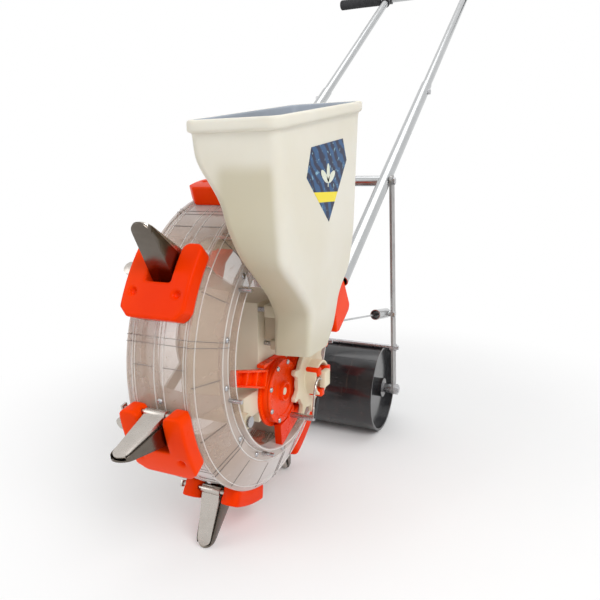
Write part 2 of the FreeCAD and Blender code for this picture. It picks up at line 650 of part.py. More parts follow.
# Metering roller: six seed pockets, on the shaft of the front gear inside the seed box
roller = new_body("seed_roller")
pad(roller, circle(roller, "YZ_Plane", "0", "0", "roller_radius", "case_side - shaft_fit - roller_long"),
    "roller_long")
cup = bore_through(roller, "Subtractive", "pocket_radius", "roller_radius", "case_side - roller_long / 2",
                    up="roller_radius - pocket_radius", axis="Z")
ring_pattern(roller, [cup], "pocket_count")
bore = bore_through(roller, "Subtractive", "shaft_radius + seat_gap", "2 * roller_long",
                    "case_side - 1.5 * roller_long")
roller.Tip = bore
keep(roller, "seed_roller", Placement(METERING_AXLE, Rotation()))


def at(side, back, rise):
    """Give a place by its side, its distance behind the ring axis and its rise above it."""
    return Vector(side, back, AXLE_HEIGHT + rise)


def lobes(name, radius, length, side):
    """Make the two-lobed outline that covers both gears."""
    front = rod(name + "_front", radius, length, Vector(side, METERING_AXLE.y, METERING_AXLE.z), SIDE_AXIS)
    rear = rod(name + "_rear", radius, length, Vector(side, STAR_AXLE.y, STAR_AXLE.z), SIDE_AXIS)
    return fuse(name, [front, rear])


# Gear case and cover: an orange two-lobed housing on the side of the seed box
case_outer = lobes("case_outer", "case_radius", "case_edge - case_side", S["case_side"])
case_hollow = lobes("case_hollow", "case_radius - case_wall", "case_edge - case_side",
                    S["case_side"] + S["case_floor"])
rear_boss = rod("case_rear_boss", "2 * shaft_radius", "2 * shaft_radius + case_floor",
                STAR_AXLE + Vector(S["case_side"] - 2 * S["shaft_radius"], 0, 0), SIDE_AXIS)
case_bores = [
    rod("case_bore_front", "shaft_radius + shaft_fit", "case_edge - case_side",
        METERING_AXLE + Vector(S["case_side"] - S["case_floor"], 0, 0), SIDE_AXIS),
    rod("case_bore_rear", "shaft_radius + shaft_fit", "case_edge - case_side + 2 * shaft_radius",
        STAR_AXLE + Vector(S["case_side"] - 2 * S["shaft_radius"], 0, 0), SIDE_AXIS),
]
case_shell = fuse("case_shell", [cut("case_open", case_outer, case_hollow), rear_boss])
keep(cut("gear_case", case_shell, fuse("case_bores", case_bores)), "gear_case")

cover_plate = lobes("cover_plate", "case_radius", "cover_thick", S["cover_side"])
cover_boss = rod("cover_boss", "boss_radius", "cover_thick + boss_rise",
                 METERING_AXLE + Vector(S["cover_side"], 0, 0), SIDE_AXIS)
cover_recess = rod("cover_recess", "case_radius - 3.5 * case_wall", "cover_thick",
                   METERING_AXLE + Vector(S["cover_side"] + S["cover_thick"] / 2, 0, 0), SIDE_AXIS)
cover_well = rod("cover_well", "boss_radius - case_wall", "2 * boss_rise",
                 METERING_AXLE + Vector(S["cover_side"] + S["cover_thick"], 0, 0), SIDE_AXIS)
cover_bore = rod("cover_bore", "shaft_radius + shaft_fit", "4 * cover_thick",
                 METERING_AXLE + Vector(S["cover_side"] - S["cover_thick"], 0, 0), SIDE_AXIS)
cover_window = rod("cover_window", "case_radius * 0.72", "4 * cover_thick",
                   STAR_AXLE + Vector(S["cover_side"] - S["cover_thick"], 0, 0), SIDE_AXIS)
cover_solid = fuse("cover_solid", [cut("cover_body", cover_plate, cover_recess), cover_boss])
keep(cut("gear_cover", cover_solid, fuse("cover_cut", [cover_well, cover_bore, cover_window])), "gear_cover")

COVER_SCREW_TURNS = (200, 245, 290, 335, 20)
case_screws = []
for turn in COVER_SCREW_TURNS:
    reach = S["case_radius"] - S["screw_head"] - S["seat_gap"]
    place = METERING_AXLE + Vector(S["cover_side"] + S["cover_thick"],
                                   reach * math.sin(math.radians(turn)),
                                   reach * math.cos(math.radians(turn)))
    case_screws.append(rod(f"cover_screw_{turn}", "screw_head", "screw_rise", place, SIDE_AXIS))
keep(group("case_screws", case_screws), "case_screws")

# Seed box: the cream housing inside the ring, with a chamber for the seed and the roller
box_ahead = S["case_radius"] + S["metering_ahead"] + S["case_wall"]
box_drop = S["metering_drop"] + S["roller_radius"] + 3 * S["case_wall"]
box_far = -(S["collar_side"] + S["plate_thick"])
chamber_floor = -S["metering_drop"] + 0.98 * S["roller_radius"]
roller_end = S["case_side"] - S["roller_long"] - 2 * S["seat_gap"]
chute_bottom = -S["metering_drop"] - S["chute_high"] / 2
seed_block = block("seed_block", "case_side + collar_side + plate_thick",
                   "2 * case_radius + metering_ahead + case_wall",
                   "metering_drop + roller_radius + 3 * case_wall + box_rise",
                   at(box_far, -box_ahead, -box_drop))
seed_chamber = block("seed_chamber", "case_side - 2 * case_wall + roller_radius",
                     "2 * case_radius + metering_ahead - case_wall",
                     "box_rise + metering_drop - 0.98 * roller_radius - case_wall",
                     at(-S["roller_radius"], -box_ahead + S["case_wall"], chamber_floor))
roller_bore = rod("roller_bore", "roller_radius + 2 * seat_gap", "roller_long + case_wall",
                  METERING_AXLE + Vector(roller_end, 0, 0), SIDE_AXIS)
shaft_bore = rod("shaft_bore", "shaft_radius + shaft_fit", "roller_long",
                 METERING_AXLE + Vector(roller_end - 2 * S["shaft_radius"], 0, 0), SIDE_AXIS)
inlet = block("seed_inlet", "3 * case_wall", "spout_deep - 2 * hopper_wall", "spout_high - 2 * hopper_wall",
              at(S["case_side"] - 2 * S["case_wall"], -S["spout_ahead"] + S["hopper_wall"],
                 S["spout_rise"] + S["hopper_wall"]))
chute_hole = block("chute_hole", "roller_long - 2 * case_wall", "case_radius", "chute_high - 2 * case_wall",
                   at(S["case_side"] - S["roller_long"] + S["case_wall"], -box_ahead - S["case_wall"],
                      chute_bottom + S["case_wall"]))
seed_cut = fuse("seed_cut", [seed_chamber, roller_bore, shaft_bore, inlet, chute_hole])
keep(cut("seed_box", seed_block, seed_cut), "seed_box")

# Seed chute: leads the metered seed from the roller forwards into the ring's cells
chute_side = S["case_side"] - S["roller_long"]
chute_outer = block("chute_outer", "roller_long", "chute_long", "chute_high",
                    at(chute_side, -box_ahead - S["chute_long"], chute_bottom))
chute_inner = block("chute_inner", "roller_long - 2 * case_wall", "chute_long", "chute_high - 2 * case_wall",
                    at(chute_side + S["case_wall"], -box_ahead - S["chute_long"] + S["case_wall"],
                       chute_bottom + S["case_wall"]))
chute_exit = block("chute_exit", "roller_long - 2 * case_wall", "chute_long / 2", "chute_high / 2",
                   at(chute_side + S["case_wall"], -box_ahead - S["chute_long"] + S["case_wall"],
                      chute_bottom - S["case_wall"]))
keep(cut("seed_chute", chute_outer, fuse("chute_cut", [chute_inner, chute_exit])), "seed_chute")

# Centre plates: the far one carries the spindles and the far bracket, the near one holds
# the gear case and carries the front arm, the latch hinge and the near bracket
SPINDLES = (("front", 57), ("rear", -80), ("top", 180))
spindle_reach = S["collar_radius"] - S["guide_gap"] - S["guide_radius"]
far_side = box_far - S["plate_thick"]


def spoke(name, long, wide, high, side, angle):
    """Make a bound bar that runs outwards from the ring axis at an angle round the ring."""
    bar = block(name, long, wide, high, Vector(0, 0, 0))
    middle = Placement(Vector(0, -worth(wide) / 2, 0), Rotation())
    outwards = Placement(at(side, 0, 0), Rotation(SIDE_AXIS, 180 - angle))
    bar.Placement = outwards.multiply(middle)
    return bar


far_plate = [rod("far_disc", "case_radius + roller_radius", "plate_thick", at(far_side, 0, 0), SIDE_AXIS),
             block("far_foot", "plate_thick", "beam_back + beam_wide", "beam_rise + beam_high",
                   at(far_side, 0, 0))]
for name, angle in SPINDLES:
    back, up = round_the_ring(spindle_reach, angle)
    far_plate.append(rod("far_pad_" + name, "0.9 * guide_radius", "plate_thick",
                         Vector(far_side, back, up), SIDE_AXIS))
    far_plate.append(spoke("far_leg_" + name, "plate_thick", "1.8 * guide_radius",
                           "collar_radius - guide_gap - guide_radius", far_side, angle))
keep(fuse("centre_plate_far", far_plate), "centre_plate_far")

near_rim = lobes("near_rim", "case_radius + flange_wide", "plate_thick", S["case_side"])
front_arm = spoke("front_arm", "case_edge - case_side", "1.8 * guide_radius", "arm_reach", S["case_side"],
                  S["front_arm_angle"])
arm_link = block("arm_link", "plate_thick", "2 * guide_radius", "metering_drop",
                 at(S["case_side"], -S["metering_ahead"] - 2 * S["guide_radius"], -S["metering_drop"]))
latch_block = block("latch_block", "star_side - case_side - plate_thick / 2", "4 * latch_radius",
                    "6 * latch_radius", at(S["case_side"], S["latch_back"] - 2 * S["latch_radius"],
                                           -S["latch_drop"] - 2 * S["latch_radius"]))
rear_leg = block("rear_leg", "plate_thick", "beam_wide", "star_drop + beam_rise + beam_high",
                 at(S["case_side"], S["beam_back"], -S["star_drop"]))
near_bore = rod("latch_bore", "latch_radius + shaft_fit", "collar_side",
                at(S["case_side"] - S["plate_thick"], S["latch_back"], -S["latch_drop"]), SIDE_AXIS)
near_clear = lobes("near_clear", "case_radius", "2 * (case_edge - case_side)",
                   S["case_side"] - S["case_wall"])
near_solid = fuse("near_solid", [near_rim, front_arm, arm_link, latch_block, rear_leg])
keep(cut("centre_plate_near", near_solid, fuse("near_cut", [near_clear, near_bore])), "centre_plate_near")

# Guide rollers on three spindles, each a spool that runs on both collars
spindles = []
for name, angle in SPINDLES:
    back, up = round_the_ring(spindle_reach, angle)
    spindle_rod = rod("spindle_rod_" + name, "spindle_radius", "2 * collar_side + plate_thick",
                      Vector(box_far, back, up), SIDE_AXIS)
    spindle_head = rod("spindle_head_" + name, "guide_core", "screw_rise",
                       Vector(S["collar_side"] - S["screw_rise"] / 2, back, up), SIDE_AXIS)
    spindles.append(fuse("spindle_" + name, [spindle_rod, spindle_head]))
keep(group("spindles", spindles), "spindles")


def guide_roller(label, angle):
    body = new_body(label)
    spool = [
        ("-1 * collar_side + rim_lip", "spindle_radius + shaft_fit"),
        ("-1 * collar_side + rim_lip", "guide_radius"),
        ("-1 * collar_inside - rim_lip", "guide_radius"),
        ("-1 * collar_inside", "guide_core"),
        ("collar_inside", "guide_core"),
        ("collar_inside + rim_lip", "guide_radius"),
        ("collar_side - rim_lip", "guide_radius"),
        ("collar_side - rim_lip", "spindle_radius + shaft_fit"),
    ]
    revolve(body, outline(body, "XY_Plane", spool))
    back, up = round_the_ring(spindle_reach, angle)
    return keep(body, label, Placement(Vector(0, back, up), Rotation()))


for name, angle in SPINDLES:
    guide_roller("guide_roller_" + name, angle)


# Hopper: a side outline met with a front outline, hollowed by a smaller pair, with a rim
# band round its sloping top and a spout that leads into the seed box
def met(name, side_points, front_points, wide, deep):
    """Meet an outline seen from the side with one seen from the front."""
    across = new_body(name + "_side")
    pad(across, outline(across, "YZ_Plane", side_points), wide)
    along = new_body(name + "_front")
    pad(along, outline(along, "XZ_Plane", front_points), deep, both_ways=True)
    result = doc.addObject("Part::Common", name)
    result.Base = across
    result.Tool = along
    return result


RISE = "hopper_back_top + 20 * hopper_lip"
hopper_side = [
    ("-1 * hopper_front", "hopper_front_top"),
    ("-1 * hopper_front", "175"),
    ("-1 * hopper_front + 9", "135"),
    ("-1 * hopper_front + 34", "103"),
    ("-1 * hopper_front + 100", "56"),
    ("-1 * spout_ahead - 14", "spout_rise + 8"),
    ("-1 * spout_ahead", "spout_rise - 6"),
    ("2", "spout_rise - 6"),
    ("20", "34"),
    ("62", "86"),
    ("hopper_back - 14", "150"),
    ("hopper_back", "hopper_back_top"),
]
inner_side = [
    ("-1 * hopper_front + hopper_wall", RISE),
    ("-1 * hopper_front + hopper_wall", "175 + 0.3 * hopper_wall"),
    ("-1 * hopper_front + 9 + hopper_wall", "135 + 0.6 * hopper_wall"),
    ("-1 * hopper_front + 34 + 0.8 * hopper_wall", "103 + hopper_wall"),
    ("-1 * hopper_front + 100 + 0.6 * hopper_wall", "56 + hopper_wall"),
    ("-1 * spout_ahead - 14 + 0.8 * hopper_wall", "spout_rise + 8 + hopper_wall"),
    ("-1 * spout_ahead + hopper_wall", "spout_rise - 6 + hopper_wall"),
    ("2 - 0.5 * hopper_wall", "spout_rise - 6 + hopper_wall"),
    ("20 - 0.8 * hopper_wall", "34 + 0.8 * hopper_wall"),
    ("62 - 0.9 * hopper_wall", "86 + 0.5 * hopper_wall"),
    ("hopper_back - 14 - hopper_wall", "150 + 0.3 * hopper_wall"),
    ("hopper_back - hopper_wall", "hopper_back_top"),
    ("hopper_back - hopper_wall", RISE),
]
hopper_front = [
    ("hopper_inner", RISE),
    ("hopper_inner", "ring_radius + 40"),
    ("band_half + 6", "ring_radius + 27"),
    ("spout_side", "flange_radius - 4"),
    ("spout_side", "-20"),
    ("hopper_outer - 12", "-20"),
    ("hopper_outer - 3", "80"),
    ("hopper_outer", "150"),
    ("hopper_outer", RISE),
]
inner_front = [
    ("hopper_inner + hopper_wall", RISE),
    ("hopper_inner + hopper_wall", "ring_radius + 40 + 0.6 * hopper_wall"),
    ("band_half + 6 + 0.9 * hopper_wall", "ring_radius + 27 + 0.7 * hopper_wall"),
    ("spout_side + hopper_wall", "flange_radius - 4 + 0.3 * hopper_wall"),
    ("spout_side + hopper_wall", "-20"),
    ("hopper_outer - 12 - hopper_wall", "-20"),
    ("hopper_outer - 3 - hopper_wall", "80"),
    ("hopper_outer - hopper_wall", "150"),
    ("hopper_outer - hopper_wall", RISE),
]
rim_side = [
    ("-1 * hopper_front - hopper_lip", "hopper_front_top"),
    ("-1 * hopper_front - hopper_lip", "hopper_front_top - hopper_lip_high"),
    ("hopper_back + hopper_lip", "hopper_back_top - hopper_lip_high"),
    ("hopper_back + hopper_lip", "hopper_back_top"),
]
rim_front = [
    ("hopper_inner - hopper_lip", RISE),
    ("hopper_inner - hopper_lip", "ring_radius + 40"),
    ("hopper_outer + hopper_lip", "ring_radius + 40"),
    ("hopper_outer + hopper_lip", RISE),
]
HOPPER_WIDE = "1.5 * hopper_outer"
HOPPER_DEEP = "3 * hopper_front"
outer_form = met("hopper_outer_form", hopper_side, hopper_front, HOPPER_WIDE, HOPPER_DEEP)
inner_form = met("hopper_inner_form", inner_side, inner_front, HOPPER_WIDE, HOPPER_DEEP)
rim_form = met("hopper_rim_form", rim_side, rim_front, HOPPER_WIDE, HOPPER_DEEP)


def on_axle(name, pieces):
    """Join pieces drawn about the ring axis and raise them to its height."""
    joined = fuse(name, pieces)
    joined.Placement = on_ring()
    return joined


spout_outer = block("spout_outer", "spout_side - case_side + hopper_wall", "spout_deep", "spout_high",
                    at(S["case_side"], -S["spout_ahead"], S["spout_rise"]))
spout_inner = block("spout_inner", "spout_side - case_side + 3 * hopper_wall",
                    "spout_deep - 2 * hopper_wall", "spout_high - 2 * hopper_wall",
                    at(S["case_side"] - S["hopper_wall"], -S["spout_ahead"] + S["hopper_wall"],
                       S["spout_rise"] + S["hopper_wall"]))
hopper_solid = fuse("hopper_solid", [on_axle("hopper_raised", [outer_form, rim_form]), spout_outer])
inner_form.Placement = on_ring()
keep(cut("hopper", hopper_solid, fuse("hopper_cut", [inner_form, spout_inner])), "hopper")

# Handles: two tubes on each side, the upper one slid into the lower one, and a handlebar
HANDLE_TURN = math.radians(S["tube_pitch"])
HANDLE_WAY = Vector(0, math.cos(HANDLE_TURN), math.sin(HANDLE_TURN))


def handle_place(side, distance):
    """Give a place on a handle tube's line by its distance from the ring axis' level."""
    return at(side, -S["handle_line"] + distance * HANDLE_WAY.y, distance * HANDLE_WAY.z)


def handle_rod(name, radius, length, side, distance):
    return rod(name, radius, length, handle_place(side, worth(distance)), HANDLE_WAY)


SIDES = (("near", 1), ("far", -1))
for name, side in SIDES:
    tube_at = side * S["tube_side"]
    lower = handle_rod("lower_outer_" + name, "tube_radius", "tube_joint - tube_start", tube_at, "tube_start")
    hollow = handle_rod("lower_inner_" + name, "tube_radius - tube_wall", "tube_joint - tube_start", tube_at,
                        "tube_start")
    keep(cut("lower_tube_" + name, lower, hollow), "lower_tube_" + name)
    upper = handle_rod("upper_outer_" + name, "upper_radius", "tube_end - tube_joint + upper_insert", tube_at,
                       "tube_joint - upper_insert")
    hollow = handle_rod("upper_inner_" + name, "upper_radius - tube_wall",
                        "tube_end - tube_joint + upper_insert", tube_at, "tube_joint - upper_insert")
    saddle = rod("bar_saddle_" + name, "bar_radius", "4 * tube_radius",
                 handle_place(tube_at - 2 * S["tube_radius"], S["tube_end"]), SIDE_AXIS)
    keep(cut("upper_tube_" + name, upper, fuse("upper_cut_" + name, [hollow, saddle])), "upper_tube_" + name)

bar_outer = rod("bar_outer", "bar_radius", "2 * bar_half",
                handle_place(-S["bar_half"], S["tube_end"]), SIDE_AXIS)
bar_inner = rod("bar_inner", "bar_radius - tube_wall", "2 * bar_half",
                handle_place(-S["bar_half"], S["tube_end"]), SIDE_AXIS)
keep(cut("handlebar", bar_outer, bar_inner), "handlebar")
for name, side in SIDES:
    start = handle_place(side * (S["bar_half"] + S["rim_lip"]), S["tube_end"])
    foam = rod("grip_outer_" + name, "grip_radius", "grip_long", start, -side * SIDE_AXIS)
    end = handle_place(side * S["bar_half"], S["tube_end"])
    hole = rod("grip_hole_" + name, "bar_radius", "grip_long", end, -side * SIDE_AXIS)
    keep(cut("grip_" + name, foam, hole), "grip_" + name)

# Clamps at the handlebar, bolts through the tube joints and the arms
clamps = []
for name, side in SIDES:
    tube_at = side * S["tube_side"]
    clasp = rod("clasp_" + name, "bar_radius + sleeve_wall", "3 * bar_radius",
                handle_place(tube_at - 1.5 * S["bar_radius"], S["tube_end"]), SIDE_AXIS)
    socket = handle_rod("socket_" + name, "upper_radius + 0.75 * sleeve_wall", "3 * upper_radius", tube_at,
                        "tube_end - 3 * upper_radius")
    bar_bore = rod("clasp_bore_" + name, "bar_radius", "6 * bar_radius",
                   handle_place(tube_at - 3 * S["bar_radius"], S["tube_end"]), SIDE_AXIS)
    tube_bore = handle_rod("socket_bore_" + name, "upper_radius", "4 * upper_radius", tube_at,
                           "tube_end - 4 * upper_radius")
    clamps.append(cut("clamp_" + name, fuse("clamp_solid_" + name, [clasp, socket]),
                      fuse("clamp_cut_" + name, [bar_bore, tube_bore])))
keep(group("handle_clamps", clamps), "handle_clamps")

# Cross tube between the lower tubes, and the flat arms that lead down to the press roller
cross_place = handle_place(-S["tube_side"], S["cross_at"])
cross_outer = rod("cross_outer", "bar_radius", "2 * tube_side", cross_place, SIDE_AXIS)
cross_inner = rod("cross_inner", "bar_radius - tube_wall", "2 * tube_side", cross_place, SIDE_AXIS)
cross_cut = [cross_inner] + [
    handle_rod("cross_saddle_" + name, "tube_radius", "6 * tube_radius", side * S["tube_side"],
               "cross_at - 3 * tube_radius") for name, side in SIDES]
keep(cut("cross_tube", cross_outer, fuse("cross_cut", cross_cut)), "cross_tube")

arm_top = handle_place(0, S["cross_at"])
arm_foot = Vector(0, S["press_back"], S["press_radius"])
arm_way = (arm_foot - arm_top).normalize()
ARM_TURN = math.degrees(math.atan2(-arm_way.y, arm_way.z))
ARM_LONG = (arm_foot - arm_top).Length
ROD_SHARE = 0.78
STUB_SHARE = 0.61
rod_place = arm_top + arm_way * ARM_LONG * ROD_SHARE
stub_place = arm_top + arm_way * ARM_LONG * STUB_SHARE
for name, side in SIDES:
    inner_face = side * S["arm_side"]
    corner = min(inner_face, inner_face + side * S["arm_thick"])
    flat = doc.addObject("Part::Box", "arm_flat_" + name)
    flat.setExpression("Length", bound("arm_thick"))
    flat.setExpression("Width", bound("arm_wide"))
    flat.Height = ARM_LONG
    turned = Placement(arm_top + Vector(corner, 0, 0), Rotation(SIDE_AXIS, ARM_TURN))
    flat.Placement = turned.multiply(Placement(Vector(0, -S["arm_wide"] / 2, 0), Rotation()))
    ends = [rod("arm_top_end_" + name, "arm_wide / 2", "arm_thick",
                arm_top + Vector(corner, 0, 0), SIDE_AXIS),
            rod("arm_foot_end_" + name, "arm_wide / 2", "arm_thick",
                arm_foot + Vector(corner, 0, 0), SIDE_AXIS)]
    holes = [rod("arm_axle_hole_" + name, "axle_radius", "3 * arm_thick",
                 arm_foot + Vector(corner - S["arm_thick"], 0, 0), SIDE_AXIS),
             rod("arm_rod_hole_" + name, "rod_radius", "3 * arm_thick",
                 rod_place + Vector(corner - S["arm_thick"], 0, 0), SIDE_AXIS)]
    keep(cut("roller_arm_" + name, fuse("arm_solid_" + name, [flat] + ends),
             fuse("arm_holes_" + name, holes)),
         "roller_arm_" + name)


def nut(name, across, thick, place, side):
    """Make a six-sided nut or bolt head that stands out to one side."""
    piece = doc.addObject("Part::Prism", name)
    piece.Polygon = 6
    piece.setExpression("Circumradius", bound(across))
    piece.setExpression("Height", bound(thick))
    piece.Placement = Placement(place, Rotation(Vector(0, 0, 1), side * SIDE_AXIS))
    return piece


# Press roller: a hollow drum with recessed ends that turns on an axle between the arms
press = new_body("press_roller")
press_outline = [
    ("-1 * press_half", "press_radius - press_wall"),
    ("-1 * press_half", "press_radius"),
    ("press_half", "press_radius"),
    ("press_half", "press_radius - press_wall"),
    ("press_half - 3 * press_wall", "press_radius - press_wall"),
    ("press_half - 3 * press_wall", "3 * axle_radius"),
    ("press_half", "3 * axle_radius"),
    ("press_half", "axle_radius + shaft_fit"),
    ("press_half - 4 * press_wall", "axle_radius + shaft_fit"),
    ("press_half - 4 * press_wall", "press_radius - press_wall"),
    ("-1 * press_half + 4 * press_wall", "press_radius - press_wall"),
    ("-1 * press_half + 4 * press_wall", "axle_radius + shaft_fit"),
    ("-1 * press_half", "axle_radius + shaft_fit"),
    ("-1 * press_half", "3 * axle_radius"),
    ("-1 * press_half + 3 * press_wall", "3 * axle_radius"),
    ("-1 * press_half + 3 * press_wall", "press_radius - press_wall"),
]
revolve(press, outline(press, "XY_Plane", press_outline))
keep(press, "press_roller", Placement(arm_foot, Rotation()))

axle_pieces = [rod("axle_rod", "axle_radius", "2 * (arm_side + 3 * arm_thick)",
                   arm_foot - Vector(S["arm_side"] + 3 * S["arm_thick"], 0, 0), SIDE_AXIS)]
tie_pieces = [rod("tie_rod_bar", "rod_radius", "2 * (arm_side + 3 * arm_thick)",
                  rod_place - Vector(S["arm_side"] + 3 * S["arm_thick"], 0, 0), SIDE_AXIS)]
for name, side in SIDES:
    outside = side * (S["arm_side"] + S["arm_thick"])
    inside = side * (S["press_half"] + S["sleeve_gap"])
    axle_pieces.append(nut("axle_nut_" + name, "1.8 * axle_radius", "axle_radius",
                           arm_foot + Vector(outside, 0, 0), side))
    axle_pieces.append(rod("axle_collar_" + name, "1.5 * axle_radius", "arm_side - press_half - sleeve_gap",
                           arm_foot + Vector(inside, 0, 0), side * SIDE_AXIS))
    tie_pieces.append(nut("tie_nut_" + name, "1.8 * rod_radius", "rod_radius",
                          rod_place + Vector(outside, 0, 0), side))
    tie_pieces.append(nut("tie_inner_nut_" + name, "1.8 * rod_radius", "rod_radius",
                          rod_place + Vector(side * S["arm_side"], 0, 0), -side))
keep(fuse("roller_axle", axle_pieces), "roller_axle")
keep(fuse("tie_rod", tie_pieces), "tie_rod")

# Bolts and nuts of the frame
bolts = []
for name, side in SIDES:
    arm_outside = handle_place(side * (S["arm_side"] + S["arm_thick"]), S["cross_at"])
    bolts.append(nut("arm_bolt_" + name, "1.6 * rod_radius", "rod_radius", arm_outside, side))
    joint = handle_place(side * (S["tube_side"] + S["tube_radius"] - S["tube_wall"]),
                         S["tube_joint"] - S["upper_insert"] / 2)
    joint_nut = nut("joint_nut_" + name, "1.3 * rod_radius", "rod_radius + tube_wall", joint, side)
    tube_round = handle_rod("joint_round_" + name, "tube_radius", "upper_insert", side * S["tube_side"],
                            "tube_joint - upper_insert")
    bolts.append(cut("joint_bolt_" + name, joint_nut, tube_round))
keep(group("frame_bolts", bolts), "frame_bolts")

# Brace: a stub tube on the near arm and a stiff wire from it to the near bracket
link_start = at(S["tube_side"], S["beam_back"] + S["beam_wide"], S["beam_rise"] + S["link_rise"])
stub_end = Vector(S["tube_side"], stub_place.y, stub_place.z)
link_way = (stub_end - link_start).normalize()
LINK_SINK = 4.0
link_base = link_start - link_way * LINK_SINK
plug_face = stub_end - link_way * 1.5 * S["bar_radius"]
stub_outer = rod("stub_outer", "bar_radius", "stub_long", stub_end, link_way * -1)
stub_hollow = rod("stub_hollow", "bar_radius - tube_wall", "stub_long", plug_face, link_way * -1)
stub_boss = rod("stub_boss", "1.3 * rod_radius", "arm_side - tube_side",
                stub_end - link_way * 0.75 * S["bar_radius"], SIDE_AXIS)
stub_nut = nut("stub_nut", "1.6 * rod_radius", "rod_radius",
               stub_end - link_way * 0.75 * S["bar_radius"]
               + Vector(S["arm_side"] + S["arm_thick"] - S["tube_side"], 0, 0), 1)
link_wire = doc.addObject("Part::Cylinder", "link_wire")
link_wire.setExpression("Radius", bound("wire_radius"))
link_wire.Height = (plug_face - link_base).Length
link_wire.Placement = Placement(link_base, Rotation(Vector(0, 0, 1), link_way))
stub_tube = cut("stub_tube", fuse("stub_solid", [stub_outer, stub_boss]), stub_hollow)
keep(group("arm_brace", [fuse("stub_and_wire", [stub_tube, link_wire]), stub_nut]), "arm_brace")


# Brackets: an orange sleeve round each handle tube's foot, a web and a beam to the centre
def bracket(name, side, beam_from, web_points):
    web_start = side * S["tube_side"] - S["web_thick"] / 2
    web = new_body("bracket_web_" + name)
    pad(web, outline(web, "YZ_Plane", web_points), "web_thick")
    web.Placement = Placement(at(web_start, 0, 0), Rotation())
    sleeve = handle_rod("sleeve_" + name, "tube_radius + sleeve_gap + sleeve_wall", "sleeve_long",
                        side * S["tube_side"], "tube_start")
    beam_to = side * (S["tube_side"] + S["web_thick"] / 2)
    beam = block("beam_" + name, str(abs(beam_to - beam_from)), "beam_wide", "beam_high",
                 at(min(beam_from, beam_to), S["beam_back"], S["beam_rise"]))
    bore = handle_rod("sleeve_bore_" + name, "tube_radius + sleeve_gap", "4 * sleeve_long",
                      side * S["tube_side"], "tube_start")
    tools = [bore]
    if side > 0:
        tools.append(rod("link_hole", "wire_radius", "12 * wire_radius", link_base, link_way))
    solid = fuse("bracket_solid_" + name, [web, sleeve, beam])
    tool = fuse("bracket_cut_" + name, tools) if side > 0 else bore
    keep(cut("bracket_" + name, solid, tool), "bracket_" + name)


WEB_BACK = "tube_start * cos(tube_pitch) - handle_line"
WEB_RISE = "tube_start * sin(tube_pitch)"
SLEEVE_BACK = "(tube_start + sleeve_long) * cos(tube_pitch) - handle_line"
SLEEVE_RISE = "(tube_start + sleeve_long) * sin(tube_pitch)"
web_back = [
    ("beam_back + beam_wide", "beam_rise"),
    (SLEEVE_BACK, SLEEVE_RISE),
    (WEB_BACK, WEB_RISE),
]
near_web = [("41 + web_thick", "beam_rise")] + web_back + [("62", "86"), ("41", "60")]
far_web = [("beam_back", "beam_rise")] + web_back + [("beam_back", "beam_rise + beam_high")]
bracket("near", 1, S["case_side"] + S["plate_thick"], near_web)
bracket("far", -1, far_side, far_web)

# Latch: a hinge rod in the near plate and a bent wire that lies in front of the star hub
latch_from = at(S["case_side"] + S["plate_thick"] / 2, S["latch_back"], -S["latch_drop"])
latch_rod = rod("latch_rod", "latch_radius", "latch_side + wire_radius - case_side - plate_thick / 2",
                latch_from, SIDE_AXIS)
latch_corner = at(S["latch_side"], S["latch_back"], -S["latch_drop"])
latch_bend = at(S["latch_side"], S["latch_back"] + 12, -S["latch_drop"] + 26)
latch_tip = at(S["latch_side"], S["star_back"] - 18, -S["star_drop"] + 7)
latch_pieces = [latch_rod]
for index, (start, end) in enumerate(((latch_corner, latch_bend), (latch_bend, latch_tip))):
    wire = doc.addObject("Part::Cylinder", f"latch_wire_{index + 1}")
    wire.setExpression("Radius", bound("wire_radius"))
    wire.Height = (end - start).Length
    wire.Placement = Placement(start, Rotation(Vector(0, 0, 1), end - start))
    ball = doc.addObject("Part::Sphere", f"latch_bend_{index + 1}")
    ball.setExpression("Radius", bound("wire_radius"))
    ball.Placement = Placement(end, Rotation())
    latch_pieces += [wire, ball]
keep(fuse("latch", latch_pieces), "latch")

# Put the origin at the middle of the machine's length, check every piece and write it
doc.recompute()
boxes = [piece.Shape.optimalBoundingBox(False, False) for piece in parts]
machine_middle = (min(box.YMin for box in boxes) + max(box.YMax for box in boxes)) / 2
for piece in parts:
    shift = Placement(Vector(0, -machine_middle, 0), Rotation())
    piece.Placement = shift.multiply(piece.Placement)
doc.recompute()
for item in doc.Objects:
    if "Invalid" in item.State or "Error" in item.State:
        raise RuntimeError(f"{item.Label} did not rebuild: {item.State}")
os.makedirs("parts", exist_ok=True)
for piece in parts:
    if piece.Shape.isNull() or not piece.Shape.isValid():
        raise RuntimeError(f"{piece.Label} has no valid shape")
    piece.Shape.exportStep(f"parts/{piece.Label}.step")
print(f"{len(parts)} pieces, ring axis {-machine_middle:.2f} mm from the origin, {AXLE_HEIGHT:.2f} mm up")
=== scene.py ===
# %% [markdown]
# # A walk-behind seed sower
# The machine rolls a clear ring with seven planting beaks along a row. Its CAD model
# already has every piece in its place, in metres, so this script loads that model as a
# frame, gives each piece its finish, and swaps in softer shapes where moulded plastic,
# bent wire or foam needs them.

# %% Load the CAD frame
import json
import math
import bmesh
import bpy
from mathutils import Matrix, Vector


